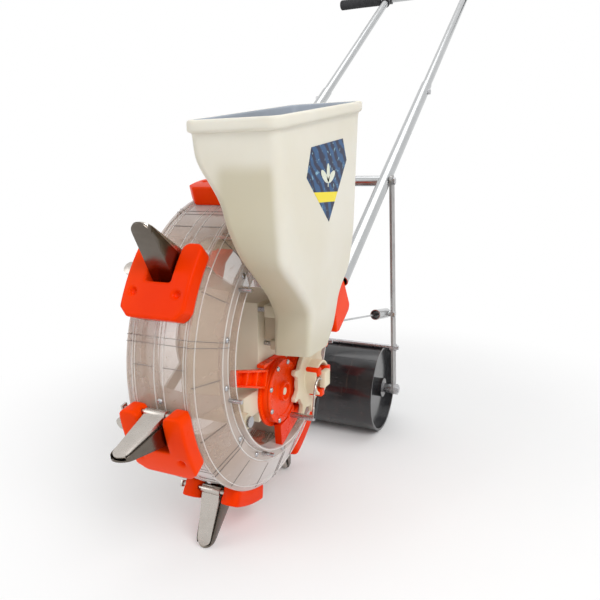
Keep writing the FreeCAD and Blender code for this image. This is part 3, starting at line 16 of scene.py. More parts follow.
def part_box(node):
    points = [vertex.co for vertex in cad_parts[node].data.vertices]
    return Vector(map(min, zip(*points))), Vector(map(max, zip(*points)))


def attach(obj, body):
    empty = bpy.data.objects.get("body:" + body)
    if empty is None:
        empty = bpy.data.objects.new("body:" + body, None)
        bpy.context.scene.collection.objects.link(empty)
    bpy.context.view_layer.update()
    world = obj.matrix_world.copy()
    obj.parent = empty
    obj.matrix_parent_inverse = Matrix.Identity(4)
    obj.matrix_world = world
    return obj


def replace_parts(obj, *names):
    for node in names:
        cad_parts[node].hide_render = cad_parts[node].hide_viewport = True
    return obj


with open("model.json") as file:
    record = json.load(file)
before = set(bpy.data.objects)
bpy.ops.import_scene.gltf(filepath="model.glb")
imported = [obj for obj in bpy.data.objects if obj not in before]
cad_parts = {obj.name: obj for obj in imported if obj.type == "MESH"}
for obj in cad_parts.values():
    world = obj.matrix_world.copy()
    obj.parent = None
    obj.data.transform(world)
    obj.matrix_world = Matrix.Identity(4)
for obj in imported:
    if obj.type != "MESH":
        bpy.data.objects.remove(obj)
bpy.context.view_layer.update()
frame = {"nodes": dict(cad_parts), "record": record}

nodes = frame["nodes"]
print("CAD pieces:", len(nodes))

# %% [markdown]
# The ring's axle is the natural reference for this machine: the camera, the hopper and
# the latch are all set out from it. Its place is the middle of the clear ring.

# %% The ring's axle and places round it
MM = 0.001
ring_low, ring_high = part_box("drum_shell_near")
AXLE = Vector((0, (ring_low.y + ring_high.y) / 2, (ring_low.z + ring_high.z) / 2))
BEAKS = 7
BEAK_STEP = 360 / BEAKS


def place(side, back, rise):
    """Give a place in millimetres from the ring's axle, as metres in the frame."""
    return AXLE + Vector((side, back, rise)) * MM


print("axle at", [round(value, 4) for value in AXLE])

# %% [markdown]
# Shader maths reads best as ordinary sums. Nodes could be joined by hand one at a time,
# but the small class below wraps one socket, so that `1 - mask * 0.5` adds the Math nodes
# by itself.

# %% Shader maths as plain expressions
class Amount:
    """A number that changes over a surface."""

    def __init__(self, recipe, socket):
        self.recipe = recipe
        self.socket = socket

    def maths(self, operation, first, second=None):
        inputs = {0: first} if second is None else {0: first, 1: second}
        return self.recipe.add("ShaderNodeMath", {"operation": operation}, inputs)

    def __add__(self, other):
        return self.maths("ADD", self, other)

    def __sub__(self, other):
        return self.maths("SUBTRACT", self, other)

    def __rsub__(self, other):
        return self.maths("SUBTRACT", other, self)

    def __mul__(self, other):
        return self.maths("MULTIPLY", self, other)

    __radd__ = __add__
    __rmul__ = __mul__

    def __gt__(self, other):
        return self.maths("GREATER_THAN", self, other)

    def __lt__(self, other):
        return self.maths("LESS_THAN", self, other)

    def either(self, other):
        return self.maths("MAXIMUM", self, other)

    def between(self, low, high):
        """Rise smoothly from 0 at low to 1 at high."""
        settings = {"interpolation_type": "SMOOTHSTEP"}
        inputs = {"Value": self, "From Min": low, "From Max": high}
        return self.recipe.add("ShaderNodeMapRange", settings, inputs)


print("sums on sockets:", "+ - * < > either between")

# %% [markdown]
# A finish on this machine is a recipe: a few noises, a blend of near colours, a bump and
# one closing shader. One method adds any node, and the short ones below it are the steps
# that nearly every finish shares.

# %% Recipe for a finish
class Recipe:
    """One material, built node by node."""

    def __init__(self, name):
        self.material = bpy.data.materials.new(name)
        self.material.use_nodes = True
        self.tree = self.material.node_tree
        self.tree.nodes.clear()
        self.spot = self.add("ShaderNodeTexCoord", {}, {}, "Object")

    def add(self, kind, settings, inputs, output=0):
        node = self.tree.nodes.new(kind)
        for name, value in settings.items():
            setattr(node, name, value)
        for name, value in inputs.items():
            if isinstance(value, Amount):
                self.tree.links.new(value.socket, node.inputs[name])
            else:
                node.inputs[name].default_value = value
        return Amount(self, node.outputs[output]) if node.outputs else None

    def noise(self, scale, detail=3.0, stretch=(1, 1, 1), roughness=0.5):
        spot = self.add("ShaderNodeMapping", {}, {"Vector": self.spot, "Scale": stretch})
        return self.add("ShaderNodeTexNoise", {}, {"Vector": spot, "Scale": scale, "Detail": detail,
                                                   "Roughness": roughness})

    def axis(self, name):
        return self.add("ShaderNodeSeparateXYZ", {}, {"Vector": self.spot}, name)

    def blend(self, factor, first, second):
        inputs = {"Factor": factor}
        for number, colour in ((6, first), (7, second)):
            inputs[number] = colour if isinstance(colour, Amount) else (*colour, 1)
        return self.add("ShaderNodeMix", {"data_type": "RGBA"}, inputs, 2)

    def bump(self, height, distance, strength=1.0):
        return self.add("ShaderNodeBump", {}, {"Height": height, "Distance": distance, "Strength": strength})

    def end(self, shader):
        self.add("ShaderNodeOutputMaterial", {}, {"Surface": shader})
        return self.material

    def finish(self, base, roughness, metallic=0.0, normal=None, **more):
        inputs = {"Base Color": base if isinstance(base, Amount) else (*base, 1),
                  "Roughness": roughness, "Metallic": metallic}
        if normal is not None:
            inputs["Normal"] = normal
        for name, value in more.items():
            inputs[name.replace("_", " ").title().replace("Ior", "IOR")] = value
        return self.end(self.add("ShaderNodeBsdfPrincipled", {}, inputs))


print("recipe steps:", "noise, axis, blend, bump, finish")

# %% [markdown]
# The seats, the gear case and the seed box are moulded plastic, which is never one flat
# colour: the pigment flows a little unevenly, the mould leaves a fine texture, and
# handling leaves dull patches. A painted picture could show that, but noise needs no
# picture and no seams, so each plastic mixes two near shades and varies its gloss.

# %% Plastics
def moulded(name, colour, shade, roughness, grain=0.00006, **more):
    """Make a moulded plastic from two near shades."""
    recipe = Recipe(name)
    flow = recipe.noise(9, 4)
    dust = recipe.noise(60, 5, roughness=0.7)
    base = recipe.blend(flow.between(0.35, 0.7), colour, shade)
    worn = recipe.blend(dust.between(0.62, 0.8) * 0.25, base, tuple(0.8 * part + 0.05 for part in colour))
    pits = recipe.noise(900, 2)
    return recipe.finish(worn, roughness + (dust - 0.5) * 0.18, normal=recipe.bump(pits, grain), **more)


orange = moulded("orange plastic", (0.93, 0.052, 0.0), (0.84, 0.034, 0.0), 0.30, specular_ior_level=0.06)
orange_worn = moulded("orange gear plastic", (0.96, 0.062, 0.001), (0.80, 0.030, 0.001), 0.28,
                      specular_ior_level=0.12)
cream = moulded("cream plastic", (0.74, 0.66, 0.52), (0.66, 0.57, 0.42), 0.45, specular_ior_level=0.3)
nylon = moulded("cream nylon", (0.80, 0.72, 0.55), (0.70, 0.60, 0.42), 0.5, specular_ior_level=0.3)
black_plastic = moulded("black plastic", (0.020, 0.020, 0.022), (0.012, 0.012, 0.013), 0.32)
print("plastics:", orange.name, cream.name, nylon.name, black_plastic.name)

# %% [markdown]
# The ring is clear with a warm tint. A true refracting wall is slow, so its opacity is set
# instead: mostly see-through face on, more solid where the eye skims along it and painted
# paler there as a painted reflection, with faint flow marks and small scuffs. The raised
# lines across get a darker mix of the same finish, as painted shade, and the hoops a paler one, as a painted
# highlight.

# %% Clear plastic
def clear_wall(name, tint, face_on, skimming):
    """Make a clear plastic from its opacity face on and where the eye skims it."""
    recipe = Recipe(name)
    flow = recipe.noise(14, 4, roughness=0.6)
    scuffs = recipe.noise(120, 6, stretch=(1, 0.25, 1), roughness=0.75)
    skim = recipe.add("ShaderNodeLayerWeight", {}, {"Blend": 0.55}, "Facing")
    haze = scuffs.between(0.58, 0.78) * 0.22 + flow.between(0.45, 0.75) * 0.10
    alpha = face_on + skim * skim * (skimming - face_on) + haze
    # Painted reflection: the tint is blended towards near white where the eye skims the wall.
    base = recipe.blend(skim.between(0.35, 0.95), tint, (0.93, 0.92, 0.92))
    return recipe.finish(base, 0.09 + haze * 0.5, normal=recipe.bump(flow, 0.0006), alpha=alpha,
                         coat_weight=0.3, coat_roughness=0.05)


clear = clear_wall("clear plastic", (0.56, 0.42, 0.33), 0.36, 0.80)
# Painted shade on the lines across and painted highlight on the hoops: both are the same clear plastic as the
# wall.
clear_line_painted_shade = clear_wall("clear plastic lines, painted shade", (0.17, 0.13, 0.11), 0.50, 0.75)
clear_edge_painted_highlight = clear_wall("clear plastic edges, painted highlight", (0.82, 0.78, 0.74), 0.62, 0.90)
print("clear wall:", clear.name)

# %% [markdown]
# Metal shows how it was made: the beaks are rolled sheet with long draw marks, the small
# parts are zinc plated with a mottled bloom, and the tubes are polished. One recipe does
# for all of them, because only its colours, its stretch and its amount of bloom differ.

# %% Metals
def metal(name, colour, shade, roughness, stretch, mottled):
    """Make a metal whose marks are stretched one way and whose bloom is more or less strong."""
    recipe = Recipe(name)
    marks = recipe.noise(90, 4, stretch=stretch, roughness=0.65)
    bloom = recipe.noise(35, 5, roughness=0.6)
    base = recipe.blend(bloom.between(0.4, 0.65) * mottled, colour, shade)
    rough = roughness + (marks - 0.5) * 0.2 + bloom.between(0.5, 0.7) * 0.1 * mottled
    return recipe.finish(base, rough, metallic=1.0, normal=recipe.bump(marks, 0.00008))


# Painted reflection: the fixed beaks' steel is darkened far below the jaws' steel to stand for the dark
# surroundings it reflects.
beak_steel = metal("beak steel, painted dark reflection", (0.15, 0.13, 0.11), (0.10, 0.085, 0.07), 0.20, (1, 4, 4), 0.35)
jaw_steel = metal("jaw steel", (0.52, 0.48, 0.44), (0.40, 0.37, 0.33), 0.28, (1, 4, 4), 0.4)
zinc = metal("zinc plate", (0.50, 0.50, 0.51), (0.34, 0.34, 0.36), 0.28, (1, 1, 1), 0.5)
arm_steel = metal("arm steel", (0.40, 0.39, 0.38), (0.26, 0.25, 0.25), 0.36, (6, 1, 1), 0.6)
chrome = metal("polished tube", (0.50, 0.51, 0.515), (0.42, 0.43, 0.435), 0.20, (1, 1, 1), 0.3)
dark_wire = metal("black rod", (0.035, 0.035, 0.037), (0.02, 0.02, 0.02), 0.35, (1, 1, 1), 0.5)
print("metals:", beak_steel.name, zinc.name, arm_steel.name, chrome.name, dark_wire.name)

# %% [markdown]
# The press roller is a glossy black drum with long soft reddish-brown smears round it, which
# are painted reflections: noise that is squeezed along the axle makes them. The foam
# grips are matt and full of tiny cells, which a Voronoi pattern gives better than noise.

# %% Black drum and foam
def black_drum():
    recipe = Recipe("black drum")
    reflection_streaks = recipe.noise(16, 5, stretch=(5, 0.6, 0.6), roughness=0.6)
    cloud = recipe.noise(7, 3)
    scratch = recipe.noise(220, 3, stretch=(0.15, 1, 1), roughness=0.8)
    # Painted reflection: faint reddish-brown smears run round the drum.
    base = recipe.blend(reflection_streaks.between(0.5, 0.75) * 0.8, (0.012, 0.012, 0.014), (0.045, 0.030, 0.026))
    rough = 0.16 + cloud.between(0.4, 0.7) * 0.12 + scratch.between(0.6, 0.8) * 0.2
    return recipe.finish(base, rough, normal=recipe.bump(cloud, 0.0012), coat_weight=0.4, coat_roughness=0.1)


def foam_cells():
    recipe = Recipe("black foam")
    cells = recipe.add("ShaderNodeTexVoronoi", {}, {"Vector": recipe.spot, "Scale": 700.0}, "Distance")
    lumps = recipe.noise(80, 3)
    base = recipe.blend(lumps.between(0.3, 0.7), (0.014, 0.014, 0.016), (0.030, 0.030, 0.033))
    return recipe.finish(base, 0.82 + (lumps - 0.5) * 0.1, normal=recipe.bump(cells + lumps, 0.0003))


drum_black = black_drum()
foam = foam_cells()
print("black:", drum_black.name, foam.name)

# %% [markdown]
# Each CAD piece names a material slot in its record. A table turns slots into finishes,
# which is shorter and safer than a line for each piece, and a second table holds the few
# pieces whose finish differs from the rest of their slot.

# %% Finishes for the CAD pieces
FINISHES = {
    "clear_shell": clear, "screw_steel": zinc, "beak_steel": beak_steel, "arm_steel": arm_steel,
    "orange_plastic": orange, "cream_plastic": cream, "nylon": nylon, "chrome_tube": chrome,
    "foam": foam, "black_plastic": black_plastic, "dark_wire": dark_wire,
}
SLOTS = {part["node"]: part["material_slot"] for part in frame["record"]["subparts"]}
FINISHES_BY_NODE = {"press_roller": drum_black, "gear_case": orange_worn, "gear_cover": orange_worn,
                    "centre_plate_near": orange_worn}
FINISHES_BY_NODE.update({f"moving_beak_{number}": jaw_steel for number in range(1, BEAKS + 1)})


def dress(piece, finish):
    """Give a piece one finish."""
    piece.data.materials.clear()
    piece.data.materials.append(finish)


for name, node in nodes.items():
    dress(node, FINISHES_BY_NODE.get(name, FINISHES[SLOTS[name]]))
print("dressed", len(nodes), "CAD pieces")

# %% [markdown]
# Each piece below is a mesh in the frame, with a finish and a body to ride on: the frame,
# the clear drum, a jaw, the star or the latch. These helpers do that the same way for all.

# %% Helpers for new pieces
MEMBERS = frame["record"]["behaviour"]["bodies"]
BODIES = {member: body for body, members in MEMBERS.items() for member in members}


def new_object(name, data):
    """Put a mesh, a camera or a lamp in the scene as an object."""
    item = bpy.data.objects.new(name, data)
    bpy.context.scene.collection.objects.link(item)
    return item


def mesh_from(work, name):
    """Turn mesh work into a mesh."""
    mesh = bpy.data.meshes.new(name)
    work.to_mesh(mesh)
    work.free()
    return mesh


def finish_piece(piece, name, finish, body):
    """Name a new piece, dress it and let it ride on a body."""
    piece.name = name
    dress(piece, finish)
    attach(piece, body)
    return piece


def smooth_by_angle(mesh, degrees=35):
    mesh.shade_smooth()
    mesh.set_sharp_from_angle(angle=math.radians(degrees))


print("bodies to ride on:", ", ".join(MEMBERS))

# %% [markdown]
# A mould can't make a sharp corner, and neither can a press or a saw that is followed by
# a deburr. A CAD piece's mesh stays as it is, so a copy is merged, its flat faces are
# joined, and its sharp edges get a small round. The copy then stands for the piece.

# %% Softened copies of the CAD pieces
def merged_copy(name):
    """Copy a CAD piece's mesh with its loose triangles joined."""
    work = bmesh.new()
    work.from_mesh(nodes[name].data)
    bmesh.ops.remove_doubles(work, verts=work.verts, dist=2e-6)
    return work


def softened(name, width, sharp=34):
    """Make a copy of a CAD piece with its sharp edges rounded."""
    work = merged_copy(name)
    bmesh.ops.dissolve_limit(work, angle_limit=math.radians(0.8), verts=work.verts, edges=work.edges)
    edges = [edge for edge in work.edges
             if edge.is_manifold and edge.calc_face_angle(0.0) > math.radians(sharp)]
    bmesh.ops.bevel(work, geom=edges, offset=width, offset_type="OFFSET", segments=2, profile=0.5,
                    affect="EDGES", clamp_overlap=True)
    bmesh.ops.triangulate(work, faces=[face for face in work.faces if len(face.verts) > 4])
    mesh = mesh_from(work, name + "_soft")
    smooth_by_angle(mesh)
    piece = new_object(name + "_soft", mesh)
    finish_piece(piece, name + "_soft", nodes[name].data.materials[0], BODIES[name])
    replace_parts(piece, name)


ROUNDED = {
    0.0006: [f"{kind}_beak_{number}" for kind in ("fixed", "moving") for number in range(1, BEAKS + 1)],
    0.0010: ["gear_case", "gear_cover", "bracket_far", "seed_box", "seed_chute", "star_gear"],
}
for width, names in ROUNDED.items():
    for name in names:
        softened(name, width)
print("softened", sum(len(names) for names in ROUNDED.values()), "pieces")

# %% [markdown]
# The seats and the star wheel are moulded with generous rounds that run into each other.
# A bevel fails where its edges meet at odd angles, so these copies are remeshed into
# small even faces and relaxed, which rounds every corner as a mould maker's stone would.

# %% Remesh and relax a CAD piece
def evaluated_mesh(piece):
    """Turn a piece with its modifiers into a plain mesh."""
    view = bpy.context.evaluated_depsgraph_get()
    return bpy.data.meshes.new_from_object(piece.evaluated_get(view), depsgraph=view)


def relaxed(name, voxel, rounds, work=None):
    """Make a copy of a CAD piece with every edge rounded by a remesh and a relax."""
    mesh = mesh_from(work or merged_copy(name), name + "_round")
    piece = new_object(name + "_round", mesh)
    remesh = piece.modifiers.new("remesh", "REMESH")
    remesh.mode = "VOXEL"
    remesh.voxel_size = voxel
    relax = piece.modifiers.new("relax", "SMOOTH")
    relax.iterations = rounds
    relax.factor = 0.5
    piece.data = evaluated_mesh(piece)
    piece.modifiers.clear()
    piece.data.shade_smooth()
    finish_piece(piece, name + "_round", nodes[name].data.materials[0], BODIES[name])
    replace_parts(piece, name)


print("remesh and relax are ready for", BEAKS, "seats, the star wheel and a bracket")

# %% [markdown]
# A seat's leading corners are sliced off at a slant on the real machine. A boolean with a
# wedge would do it too, but a plane cut is exact and leaves one rim to fill.

# %% Seats with sliced corners, and the star wheel
def cut_off(work, at, way):
    """Cut away what lies past a plane, and close the cut."""
    cut = bmesh.ops.bisect_plane(work, geom=work.verts[:] + work.edges[:] + work.faces[:], dist=1e-6,
                                 plane_co=at, plane_no=way, clear_outer=True)
    rim = [item for item in cut["geom_cut"] if isinstance(item, bmesh.types.BMEdge)]
    bmesh.ops.holes_fill(work, edges=rim)


def ring_spot(radius, angle):
    """Give the back and rise of a place round the ring: 0 is down and 90 is ahead."""
    turn = math.radians(angle)
    return -radius * math.sin(turn), -radius * math.cos(turn)


SEAT_LEAD = 19.5
SEAT_HALF = 43
SEAT_CORNER = 11
for number in range(1, BEAKS + 1):
    angle = BEAK_STEP * (number - 0.5)
    work = merged_copy(f"beak_seat_{number}")
    for side in (1, -1):
        lead = math.radians(angle - SEAT_LEAD)
        back, rise = ring_spot(212, angle - SEAT_LEAD)
        ahead = Vector((0, math.cos(lead), -math.sin(lead)))
        corner = place(side * (SEAT_HALF - SEAT_CORNER), back, rise)
        cut_off(work, corner, (ahead + Vector((side, 0, 0))).normalized())
    relaxed(f"beak_seat_{number}", 0.0014, 16, work)
relaxed("star_wheel", 0.0011, 5)

# %% [markdown]
# The hopper is a blown shell, so its walls flow from a wide mouth to a narrow foot with
# no straight creases. A subdivided box could give that, but its sides would be hard to
# hold to measured outlines. So it is a stack of rounded rectangles whose sides follow
# those outlines, averaged over a short height so that the bends turn gently.

# %% Hopper outlines
WALL = 3
MOUTH_SLOPE = 45 / 265
CORNER_STEPS = 8
RING_SIDES = 4 * (CORNER_STEPS + 1)
FRONT = [(-6, -70), (56, -71), (86, -98), (112, -129), (135, -158), (165, -175), (400, -175)]
FRONT_OUTER = [(-6, -64), (60, -67), (92, -104), (126, -150), (180, -160), (281, -171), (400, -171)]
BACK = [(-6, 0), (10, 4), (22, 18), (44, 25), (74, 31), (104, 66), (150, 76), (281, 90), (400, 90)]
INNER = [(-6, 79), (130, 79), (158, 76), (196, 66), (224, 47), (236, 37), (262, 33), (400, 30)]
OUTER = [(-6, 125), (8, 125), (80, 133), (150, 136), (400, 136)]


def along(outline, height):
    """Read an outline of (height, distance) pairs at a height."""
    for (low, first), (high, second) in zip(outline, outline[1:]):
        if height <= high:
            return first + (second - first) * max(height - low, 0) / (high - low)
    return outline[-1][1]


def eased(outline, height, reach=11):
    """Read an outline averaged over a short height."""
    samples = [along(outline, height + reach * step / 4) for step in range(-4, 5)]
    return sum(samples) / len(samples)


print("hopper mouth and foot, in mm:", [round(eased(BACK, height) - eased(FRONT, height)) for height in (265, 4)])

# %% [markdown]
# One ring of the stack is four straight runs joined by round corners. Rings that hold the
# same number of points are joined point by point, which keeps every face a clean quad.

# %% Hopper rings and how they are joined
def hopper_ring(work, height, grow):
    """Add one rounded rectangle of the hopper, grown or shrunk by some millimetres.

    The mouth slopes, so the upper rings are lifted more the further back they go.
    """
    inner = eased(INNER, height) - grow
    outer = eased(OUTER, height) + grow
    front = eased(FRONT, height) - grow
    front_outer = eased(FRONT_OUTER, height) - grow
    back = eased(BACK, height) + grow
    lift = MOUTH_SLOPE * min(max((height - 150) / 120, 0), 1)
    curve = max(6 + 7 * min(max((height - 20) / 60, 0), 1) + grow, 3)
    ring = []
    corners = ((outer, back, 0), (inner, back, 90), (inner, front, 180), (outer, front_outer, 270))
    for across, deep, start in corners:
        centre_x = across - curve if across == outer else across + curve
        centre_y = deep - curve if deep == back else deep + curve
        for step in range(CORNER_STEPS + 1):
            turn = math.radians(start + 90 * step / CORNER_STEPS)
            x = centre_x + curve * math.cos(turn)
            y = centre_y + curve * math.sin(turn)
            ring.append(work.verts.new(place(x, y, height + lift * (y + 175))))
    return ring


def skin(work, rings, closed=False):
    """Join a row of vertex rings with quads."""
    pairs = list(zip(rings, rings[1:]))
    if closed:
        pairs.append((rings[-1], rings[0]))
    for low, high in pairs:
        count = len(low)
        for index in range(count):
            after = (index + 1) % count
            work.faces.new((low[index], low[after], high[after], high[index]))


def made(work, name, finish, body, smooth=35):
    """Turn mesh work into a finished piece with its faces outwards."""
    bmesh.ops.recalc_face_normals(work, faces=work.faces)
    mesh = mesh_from(work, name)
    smooth_by_angle(mesh, smooth)
    return finish_piece(new_object(name, mesh), name, finish, body)


print("points in a hopper ring:", RING_SIDES)

# %% [markdown]
# The hopper's plastic is milky. Painted shade makes it warmer and darker low down, and darker
# in a band where what lies behind its wall shows through. Both are zones over the piece's
# own place, so they need no unwrapped picture.

# %% Hopper plastic
def hopper_finish():
    """Give the hopper its plastic, with painted shade low down and in a band where what lies behind its wall
    shows through.
    """
    recipe = Recipe("hopper plastic")
    flow = recipe.noise(7, 4)
    dust = recipe.noise(70, 5, roughness=0.7)
    side, rise = recipe.axis("X"), recipe.axis("Z")
    outer = recipe.blend(flow.between(0.35, 0.7), (0.76, 0.73, 0.64), (0.72, 0.68, 0.57))
    # Painted shade: the lower hopper turns a darker, warmer tan.
    low = (AXLE.z + 0.26 - rise).between(0.0, 0.16) * (1 - (side - 0.085).between(0.0, 0.05))
    outer = recipe.blend(low * 0.6, outer, (0.50, 0.40, 0.26))
    # Painted shade: a darker band stands for the dark parts behind the milky wall and their shadow.
    painted_see_through_shade = (side - 0.060).between(0.0, 0.016) * (1 - (side - 0.122).between(0.0, 0.010))
    painted_see_through_shade = painted_see_through_shade * (1 - (rise - AXLE.z - 0.222).between(0.0, 0.02))
    outer = recipe.blend(painted_see_through_shade * 0.65, outer, (0.50, 0.45, 0.31))
    base = recipe.blend(dust.between(0.62, 0.8) * 0.3, outer, (0.60, 0.57, 0.50))
    return recipe.finish(base, 0.42 + (dust - 0.5) * 0.15, normal=recipe.bump(flow, 0.0006),
                         specular_ior_level=0.3, subsurface_weight=0.15, subsurface_radius=(0.02, 0.015, 0.010))


hopper_plastic = hopper_finish()
hopper_inside = moulded("hopper inside", (0.40, 0.44, 0.50), (0.34, 0.37, 0.41), 0.5, specular_ior_level=0.3)
print("hopper finishes:", hopper_plastic.name, "and", hopper_inside.name)

# %% [markdown]
# The shell goes up outside, over a rolled lip and down inside, as one closed skin. Solidify
# could thicken a single wall, but it would pinch at the narrow foot. The inside is another
# colour, because it is in its own shade and is seen through the mouth only.

# %% Hopper shell
work = bmesh.new()
LIP = [(267, 0.4), (268, 1.8), (268.6, 3.6), (270, 4.8), (272, 5), (278, 5), (280, 4.4), (281, 3),
       (281.3, 0), (281, -2), (280, -2.8), (278, -3)]
levels = [4 + 6 * step for step in range(44)]
rings = [hopper_ring(work, level, 0) for level in levels]
rings += [hopper_ring(work, level, grow) for level, grow in LIP]
rings += [hopper_ring(work, level + WALL, -WALL) for level in reversed(levels)]
skin(work, rings)
work.faces.new(rings[0])
work.faces.new(rings[-1])
hopper = made(work, "hopper_shell", hopper_plastic, "frame", 50)
hopper.data.materials.append(hopper_inside)
first_inside = len(levels) + len(LIP) - 3  # the inside starts with the lip's last rings
for face in hopper.data.polygons:
    if first_inside <= face.index // RING_SIDES < len(rings) - 1:
        face.material_index = 1
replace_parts(hopper, "hopper")
print("hopper faces:", len(hopper.data.polygons))

# %% [markdown]
# Under the hopper a spout leads the seed to the box, and lugs with studs hold it there.
# They are blocks with soft edges, so one helper makes a bevelled box between two corners
# and another makes a round bar between two ends. A cube's bevel is enough here, since
# these blocks are small and mostly in shade.

# %% Hopper spout and lugs
def soft_box(work, low, high, soft=1.5, segments=3):
    """Add a box with rounded edges between two corners, in millimetres from the axle."""
    made_box = bmesh.ops.create_cube(work, size=1.0)
    low, high = place(*low), place(*high)
    for vert in made_box["verts"]:
        vert.co = Vector([low[i] + (vert.co[i] + 0.5) * (high[i] - low[i]) for i in range(3)])
    edges = list({edge for vert in made_box["verts"] for edge in vert.link_edges})
    bmesh.ops.bevel(work, geom=edges, offset=soft * MM, segments=segments, profile=0.5, affect="EDGES")


def round_ring(work, at, side, other, radius, sides):
    """Add a circle of points about a place, in the plane of two directions."""
    turns = (2 * math.pi * index / sides for index in range(sides))
    return [work.verts.new(at + (side * math.cos(turn) + other * math.sin(turn)) * radius * MM)
            for turn in turns]


def rod(work, start, end, radius, soft=0.4, sides=24):
    """Add a round bar with softened ends between two places in millimetres."""
    start, end = place(*start), place(*end)
    way = (end - start).normalized()
    side = way.orthogonal().normalized()
    other = way.cross(side)
    ends = ((start, radius - soft), (start + way * soft * MM, radius), (end - way * soft * MM, radius),
            (end, radius - soft))
    rings = [round_ring(work, at, side, other, size, sides) for at, size in ends]
    skin(work, rings)
    work.faces.new(rings[0])
    work.faces.new(rings[-1])


work = bmesh.new()
soft_box(work, (51.7, -42, 14), (84, 2, 52), 2)
soft_box(work, (64, -66, 50), (86, -50, 66), 2)
soft_box(work, (62, -46, 2), (86, -32, 16), 2)
made(work, "hopper_spout", hopper_plastic, "frame")
work = bmesh.new()
rod(work, (51.7, -57, 58), (66, -57, 58), 3.2)
rod(work, (51.7, -40, 9), (64, -40, 9), 3.2)
made(work, "hopper_studs", zinc, "frame")
print("hopper spout, lugs and studs made")

# %% [markdown]
# A printed label decorates the hopper. This one is a plain design of its own: a blue
# field with slanting rays, a yellow stripe and a pale seedling. Rays and stripe come from
# the shader, as they need no sharp outline, and the seedling is a thin raised shape,
# because its edge has to stay crisp from near.

# %% Hopper label
LABEL = [(-84, 256), (18, 272), (33, 246), (-28, 170), (-97, 222)]
LABEL_SIDE = 136.05
LABEL_THICK = 0.35
INK_THICK = 0.15
STRIPE_LOW = float(AXLE.z) + 0.194


def flat_shape(work, outline, side, thick):
    """Add a thin slab with a closed outline on the hopper's outer wall."""
    low = [work.verts.new(place(side, back, rise)) for back, rise in outline]
    high = [work.verts.new(place(side + thick, back, rise)) for back, rise in outline]
    work.faces.new(low)
    work.faces.new(high)
    skin(work, [low, high])


def label_print():
    recipe = Recipe("label print")
    rays = recipe.add("ShaderNodeTexWave", {"wave_type": "BANDS", "bands_direction": "DIAGONAL"},
                      {"Vector": recipe.spot, "Scale": 26.0, "Distortion": 6.0, "Detail": 3.0}, "Fac")
    speck = recipe.noise(160, 4)
    field = recipe.blend(rays.between(0.3, 0.75), (0.002, 0.008, 0.045), (0.010, 0.075, 0.20))
    field = recipe.blend(speck.between(0.6, 0.7) * 0.7, field, (0.30, 0.55, 0.68))
    rise = recipe.axis("Z")
    stripe = (rise > STRIPE_LOW) * (rise < STRIPE_LOW + 0.012)
    base = recipe.blend(stripe, field, (0.86, 0.70, 0.03))
    return recipe.finish(base, 0.35, specular_ior_level=0.2)


def leaf(work, back, rise, length, wide, turn):
    """Add a leaf from its stalk's place, leaning by an angle."""
    outline = []
    for step in range(16):
        angle = 2 * math.pi * step / 16
        out, over = length * 0.5 * (1 + math.cos(angle)), wide * 0.5 * math.sin(angle)
        outline.append((back + out * math.cos(turn) - over * math.sin(turn),
                        rise + out * math.sin(turn) + over * math.cos(turn)))
    flat_shape(work, outline, LABEL_SIDE + LABEL_THICK, INK_THICK)


work = bmesh.new()
flat_shape(work, LABEL, LABEL_SIDE, LABEL_THICK)
made(work, "hopper_label", label_print(), "frame")
work = bmesh.new()
for turn, length in ((0.5, 26), (1.57, 22), (2.64, 26)):
    leaf(work, -32, 218, length, 10, turn)
flat_shape(work, [(-33, 212), (-31, 212), (-31, 222), (-33, 222)], LABEL_SIDE + LABEL_THICK, INK_THICK)
made(work, "label_seedling", moulded("label ink", (0.78, 0.80, 0.70), (0.66, 0.70, 0.55), 0.4), "frame")
print("label corners:", len(LABEL))

# %% [markdown]
# Most of what is small on the ring comes seven times. Copies could be made in a loop,
# but a small Geometry Nodes tree keeps their number and step as inputs that can be tried
# by hand. It puts points at the axle, turns one copy at each, and makes them real.

# %% A tree that repeats a shape round the axle
def round_tree():
    tree = bpy.data.node_groups.new("repeat_round_axle", "GeometryNodeTree")
    face = tree.interface
    face.new_socket("Geometry", in_out="INPUT", socket_type="NodeSocketGeometry")
    for name, kind in (("Copies", "NodeSocketInt"), ("Start Angle", "NodeSocketFloat"),
                       ("Step Angle", "NodeSocketFloat"), ("Centre", "NodeSocketVector"),
                       ("Finish", "NodeSocketMaterial")):
        face.new_socket(name, in_out="INPUT", socket_type=kind)
    face.new_socket("Geometry", in_out="OUTPUT", socket_type="NodeSocketGeometry")
    new, link = tree.nodes.new, tree.links.new
    given, result = new("NodeGroupInput"), new("NodeGroupOutput")
    points, number = new("GeometryNodePoints"), new("GeometryNodeInputIndex")
    link(given.outputs["Copies"], points.inputs["Count"])
    link(given.outputs["Centre"], points.inputs["Position"])
    turned = new("ShaderNodeMath")
    turned.operation = "MULTIPLY_ADD"
    link(number.outputs[0], turned.inputs[0])
    link(given.outputs["Step Angle"], turned.inputs[1])
    link(given.outputs["Start Angle"], turned.inputs[2])
    vector = new("ShaderNodeCombineXYZ")
    link(turned.outputs[0], vector.inputs["X"])
    copies = new("GeometryNodeInstanceOnPoints")
    link(points.outputs[0], copies.inputs["Points"])
    link(given.outputs["Geometry"], copies.inputs["Instance"])
    link(vector.outputs[0], copies.inputs["Rotation"])
    real, painted = new("GeometryNodeRealizeInstances"), new("GeometryNodeSetMaterial")
    link(copies.outputs[0], real.inputs[0])
    link(real.outputs[0], painted.inputs["Geometry"])
    link(given.outputs["Finish"], painted.inputs["Material"])
    link(painted.outputs[0], result.inputs[0])
    return tree


ROUND_TREE = round_tree()
SOCKETS = {item.name: item.identifier for item in ROUND_TREE.interface.items_tree if item.in_out == "INPUT"}


